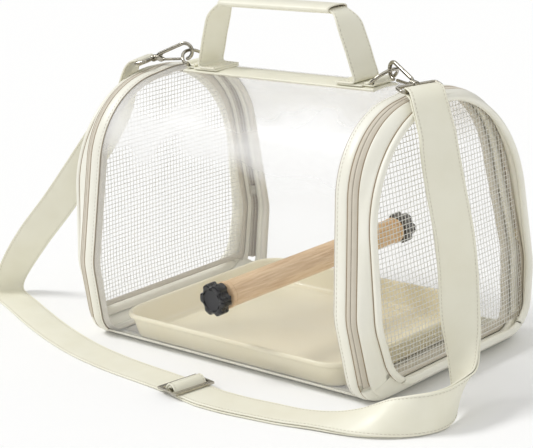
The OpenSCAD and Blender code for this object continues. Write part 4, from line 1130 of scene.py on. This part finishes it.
a = np.radians(np.linspace(-90, 168, 16))[1:, None]
line = np.vstack([[[117.6, 0, 282.0], [122, 0, 282.0], [126, 0, 282.0]],
                  RING_BAR + 3.1 * (np.cos(a) * [1, 0, 0] + np.sin(a) * RISE),
                  [[123.2, 0, 284.3], [120.5, 0, 284.0], [118.2, 0, 284.0]]])
tab = webbing(with_way(evened(strap_line((line, LEVEL)), 60)), 15.0, 1.9)
tab_seam = stitches(np.linspace([120.6, -13, 284.9], [120.6, 13, 284.9], 20), RISE, (2.3, 1.1, 0.26))
tabs = [part_at(s, piece) for s in (1, -1) for piece in (open_part(tab), tab_seam)]
finish_piece("ring_tab_skins", tabs, "carrier", (STRAP_SKIN, THREAD), "ivory", "ring_tabs")

# %% [markdown]
# The hardware is nickel-plated wire: a D-ring, a snap hook with a sprung gate, and a swivelling
# loop for the strap. Each is a tube along a line of arcs and straights, with ball ends where a
# wire stops. The hook's eye end is a small casting with a collar that the loop's eye turns on.

# %% Rings, hooks and loops
def arc(cx, cy, r, a0, a1, n=24):
    a = np.radians(np.linspace(a0, a1, n))
    return np.stack([cx + r * np.cos(a), cy + r * np.sin(a)], 1)


def rounded_end(path, radius, steps=5):
    """A path and its radii with a ball at both ends."""
    a = np.linspace(0, np.pi / 2, steps + 1)[:-1]
    start = path[0] + unit(path[0] - path[1]) * radius * np.cos(a)[:, None]
    end = path[-1] + unit(path[-1] - path[-2]) * radius * np.cos(a)[::-1, None]
    r = radius * np.maximum(np.sin(a), 0.04)
    return np.vstack([start, path, end]), np.r_[r, np.full(len(path), radius), r[::-1]]


def on_hook(uv, y=0.0):
    """Points [u, v] of the hook's plane, u towards the strap, at a distance y to the rear."""
    uv = np.asarray(uv, float)
    beside = np.broadcast_to(y, uv.shape[:-1])[..., None] * BAR_WAY
    return HOOK_AT + uv[..., :1] * HOOK_WAY + uv[..., 1:] * HOOK_UP + beside


def hook_turned(profile, steps=32):
    """A profile of (radius, u) turned round the hook's long axis."""
    t = np.linspace(0, 2 * np.pi, steps, endpoint=False)
    r, u = np.asarray(profile, float).T[..., None]
    v = r * np.sin(t)
    return on_hook(np.stack([np.broadcast_to(u, v.shape), v], -1), r * np.cos(t))


# the bow's and the eye's circles [u, v] share two tangents; the gate swings on its pivot
BOW_R, EYE_U, EYE_R, PIVOT = 8.5, 30.0, 3.4, (29.6, -3.4)
FLARE = math.degrees(math.asin((BOW_R - EYE_R) / EYE_U))
UP = 90 - FLARE

# ring: a straight bar and a half circle, joined by corners of 3 mm
yc = math.sqrt(14.8 ** 2 - 9)
meet = math.degrees(math.atan2(yc, 3))
d = np.vstack([arc(3, yc, 3, 180, meet, 8), arc(0, 0, RING_R, meet, -meet, 48)[1:-1],
               arc(3, -yc, 3, -meet, -180, 8), np.linspace([0, -yc], [0, yc], 11)[1:-1]])
path = RING_BAR + d[:, :1] * RING_WAY + d[:, 1:] * LEVEL
ring_parts = [ring_part(tube(path, 1.8, (math.sin(RING_TILT), 0, -math.cos(RING_TILT)), loop=True))]

# hook: nose, bow, back and heel in one wire, then the swivel's pin and two cheeks
bow = np.vstack([arc(0, 0, BOW_R, 360 - UP - 14, UP, 40), arc(EYE_U, 0, EYE_R, UP, -5, 14)])
path, radii = rounded_end(on_hook(bow), 2.0)
boss = hook_turned([(0.05, 31.4), (1.6, 31.5), (2.6, 32.2), (3.0, 33.2), (2.7, 34.2), (2.45, 34.8),
                    (3.1, 34.9), (3.4, 35.2), (3.4, 37.4), (3.1, 37.8), (1.7, 37.8), (1.7, 41.7),
                    (2.5, 41.8), (2.7, 42.1), (2.7, 42.7), (2.1, 43.2), (0.05, 43.25)])
hook_parts = [open_part(tube(path, radii, BAR_WAY)), open_part(boss)]
cheek = np.vstack([arc(*PIVOT, 2.2, 120, 280, 10), [[32.5, -4.6]], arc(33.6, -0.4, 2.3, -60, 80, 7),
                   [[31.4, 0.6]]])
mid = cheek.mean(0)
for y in (-2.25, 2.25):
    layers = [on_hook(mid + (cheek - mid) * (1 - inset / 3.2), y + dy)
              for inset, dy in ((0.6, -0.45), (0.0, -0.2), (0.0, 0.2), (0.6, 0.45))]
    hook_parts.append(open_part(np.stack(layers)))

# gate: a pin from the pivot to the nose, with its knuckle
flare = math.radians(180 + FLARE)
line = PIVOT + np.linspace(1.4, 23.47, 12)[:, None] * [math.cos(flare), math.sin(flare)]
path, radii = rounded_end(on_hook(line), 1.5)
knuckle = [on_hook(arc(*PIVOT, r, 0, 345, 24), y)
           for r, y in ((1.2, -1.4), (1.75, -1.4), (2.0, -1.15), (2.0, 1.15), (1.75, 1.4), (1.2, 1.4))]
gate_parts = [open_part(tube(path, radii, BAR_WAY)), open_part(np.stack(knuckle))]

# loop: a bent rectangle of wire with an eye on the swivel pin
half = (WEBBING_W + 2 + 2 * LOOP_R) / 2
bend = half - 3
rect = np.vstack([[[0, 3.0], [0, bend]], arc(3, bend, 3, 180, 90, 8)[1:], [[LOOP_LEN / 2, half]],
                  arc(LOOP_LEN - 3, bend, 3, 90, 0, 8), [[LOOP_LEN, 0]],
                  arc(LOOP_LEN - 3, -bend, 3, 0, -90, 8), [[LOOP_LEN / 2, -half]],
                  arc(3, -bend, 3, -90, -180, 8), [[0, -3.0]]])
rect = evened(rect, 120)
path = on_hook(np.stack([LOOP_X + rect[:, 0], 0 * rect[:, 0]], 1), rect[:, 1])
EYE = [(2.0, 1.3), (2.3, 1.7), (3.3, 1.7), (3.8, 1.2)]
eye = hook_turned([(r, LOOP_X - u) for r, u in EYE] + [(3.9, LOOP_X)]
                  + [(r, LOOP_X + u) for r, u in EYE[::-1]] + [(2.0, LOOP_X)])
loop_parts = [open_part(tube(path, LOOP_R, HOOK_UP)), ring_part(eye)]
for side, s in SIDES:
    for name, parts, body, node in (("ring_wire", ring_parts, "ring", "d_ring"),
                                    ("hook_wire", hook_parts, "hook", "snap_hook"),
                                    ("gate_pin_body", gate_parts, "gate", "hook_gate"),
                                    ("loop_wire", loop_parts, "loop", "swivel_loop")):
        finish_piece(f"{side}_{name}", [part_at(s, piece) for piece in parts], f"{side}_{body}",
                     (NICKEL,), "metal", f"{side}_{node}")

# %% [markdown]
# ## Handle
# The handle is the same webbing, sewn to the ridge strip with a box of stitches at each foot.
# It rises, bends over and runs through a padded sleeve, the grip. The legs flex when the
# handle tips over; they are pieces of their own, between the carrier and the handle.

# %% Feet, legs and grip
GRIP_HALF, FOOT_Z, GRIP_Z, FOOT_X = 76.0, 283.8, 352.8, 100.0
foot = plate_loops(17.0, 18.0, 1.5, [(1.5, 281.0), (0.2, 281.0), (0.0, 281.4), (0.0, 282.1),
                                     (0.35, 282.5), (3.0, 282.5)], 5)
finish_piece("handle_foot_skins", [plate_part(foot + [FOOT_X * s, 0, 0]) for s in (-1, 1)], "carrier",
             (STRAP_SKIN, THREAD), "ivory", "handle_feet")


def handle_line(*points):
    return np.array([[GRIP_HALF + u, 0.0, FOOT_Z + v] for u, v in points])


LEG = handle_line((9.0, -0.25), (18, -0.25), (26, -0.25), (30.2, 0.2), (32.0, 2.0), (31.9, 4.6),
                  (30.7, 8.4), (28.5, 14.2), (23.5, 30.2))
BEND = handle_line((17.7, 45.7), (14, 55.2), (9, 62.2), (3.5, 66.7), (-2, 68.6), (-16, 69), (-40, 69.0))
half_handle = np.vstack([LEG, smooth_line(BEND, 5)])
half_handle = np.hstack([half_handle, np.broadcast_to(LEVEL, half_handle.shape)])
half_handle = with_way(evened(half_handle, 130))
half_handle[-1, 6:] = [-1.0, 0.0, 0.0]
leg_end = int(np.argmax(half_handle[:, 2] > BEND[0, 2]))
leg_parts = (sewn_band(half_handle[:leg_end + 1], (True, False), stitched=[slice(2, None)])
             + stitched_box(88, 103, 14.5, FOOT_Z + 0.72))
for side, s in SIDES:
    leg = finish_piece(f"handle_{side}_leg_skin", [part_at(s, piece) for piece in leg_parts], None,
                       (STRAP_SKIN, THREAD), "ivory", f"handle_{side}_leg")
    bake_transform(leg)

mirrored = (half_handle * [-1, 1, 1, 1, 1, 1, 1, 1, -1])[::-1]
rows = np.vstack([half_handle[leg_end:], mirrored[1:len(mirrored) - leg_end]])
share = np.clip((GRIP_HALF + 17 - np.abs(rows[:, 0])) / 14, 0, 1)
half = 19.0 + (12.7 - 19.0) * share * share * (3 - 2 * share)
parts = sewn_band(rows, (False, False), half, (slice(0, 26), slice(-26, None)))
finish_piece("handle_band", parts, "handle", (STRAP_SKIN, THREAD), "ivory", "handle_webbing")


def grip_section(w, t):
    """Loop of a flat oval of width w and height t, a superellipse a little squarer in width."""
    a = np.linspace(0, 2 * np.pi, 48, endpoint=False)
    return np.stack([size / 2 * np.sign(wave) * np.abs(wave) ** (2 / power)
                     for size, wave, power in ((w, np.cos(a), 2.6), (t, np.sin(a), 2.2))], 1)


x = np.linspace(-1, 1, 61)
fullness = 1 + 0.05 * (1 - x ** 2) + 0.012 * np.sin(9 * x) * np.cos(4 * x + 1)
outer = carried(GRIP_HALF * x, [grip_section(30, 9 * k) for k in fullness])
inner = carried(GRIP_HALF * x, grip_section(26.6, 5.8))
lip = carried([GRIP_HALF + 0.35], grip_section(28.6, 7.7))
skin_rows = np.concatenate([lip * [-1, 1, 1], outer, lip]) + GRIP_Z * RISE
hollow = np.concatenate([lip, inner[::-1], lip * [-1, 1, 1]]) + GRIP_Z * RISE
parts = [open_part(skin_rows, free=(False, False)), grid_part(hollow, capped(hollow, False, False), 1)]
for y in (-1.6, 1.6):
    rows = np.linspace([-GRIP_HALF + 2, y, GRIP_Z - 4.62], [GRIP_HALF - 2, y, GRIP_Z - 4.62], 80)
    parts.append(stitches(rows, -RISE, (2.6, 1.2, 0.26), material=2))
grip = finish_piece("grip_pad", parts, "handle", (STRAP_SKIN, TAPE, THREAD), "grip", "handle_grip")

# %% [markdown]
# ## Parts that keep their solid shape
# The board, the wires, the screws, the zipper's sliders and pulls, the gates' pins and the
# strap's adjuster have their right shape in the solid model. They get a finish and stay.

# %% Finishes on the solids that stay
def dress(material, *names):
    for name in names:
        mesh = bpy.data.objects[name].data
        mesh.materials.clear()
        mesh.materials.append(material)


dress(BOARD, "floor_board")
dress(WIRE, "perch_screws")
dress(NICKEL, "strap_slider")
for side, _ in SIDES:
    dress(WIRE, f"{side}_end_wire", f"{side}_door_wire")
    dress(NICKEL, f"{side}_zip_slider", f"{side}_zip_pull", f"{side}_gate_pin")
shown = [o.name for o in bpy.data.objects if "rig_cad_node" in o and not o.hide_render]
print("solids that show:", sorted(shown))

# %% [markdown]
# ## Floor and light
# A wide white floor takes the object's soft shadow, and reads as white paper to the camera, to
# gloss and through the clear film. The world is an even white of low strength, and one large
# soft sun stands high on the left, so that a colour renders about as it is written.

# %% Floor
across = np.linspace(-4000, 4000, 9)
floor_grid = np.stack(np.meshgrid(across, across, [-0.2], indexing="ij"), -1)[:, :, 0]
floor_mesh = mesh_of("floor", [grid_part(floor_grid, grid_faces(9, 9, False, False))])
floor = add_object("floor", floor_mesh)
floor_finish = Finish("white_floor", (0.95, 0.95, 0.945), 0.9, Specular_IOR_Level=0.0)
floor_mesh.materials.append(floor_finish.material)

# %% Light
world = bpy.data.worlds.new("studio")
bpy.context.scene.world = world
world.use_nodes = True
world.node_tree.nodes.clear()
sky = Nodes(world.node_tree)
path = sky.add("LightPath").outputs
seen = sky.calculate("MAXIMUM", sky.calculate("MAXIMUM", path["Is Camera Ray"], path["Is Glossy Ray"]),
                     path["Is Transmission Ray"])
# gloss sees a dark belt low round the room, which gives round metal its dark edges
height = sky.add("SeparateXYZ", Vector=sky.add("TexCoord").outputs["Generated"]).outputs["Z"]
brightest = sky.add("Mix", Factor=path["Is Glossy Ray"])
sky.feed(brightest.inputs[2], 1.0)
sky.feed(brightest.inputs[3], sky.ramp(height, 0.25, 0.65, 0.1, 1.0))
strength = sky.ramp(seen, 0.0, 1.0, 0.72, brightest.outputs[0])
background = sky.add("Background", Color=(1.0, 1.0, 1.0, 1.0), Strength=strength)
sky.add("OutputWorld", Surface=background.outputs["Background"])

sun = bpy.data.objects.new("sun", bpy.data.lights.new("sun", "SUN"))
bpy.context.scene.collection.objects.link(sun)
sun.data.energy = 1.35
sun.data.angle = math.radians(18)
sun.rotation_mode = "QUATERNION"
sun.rotation_quaternion = Vector((-0.9, -0.55, 1.25)).to_track_quat("Z", "Y")
bpy.context.scene.view_settings.view_transform = "Standard"
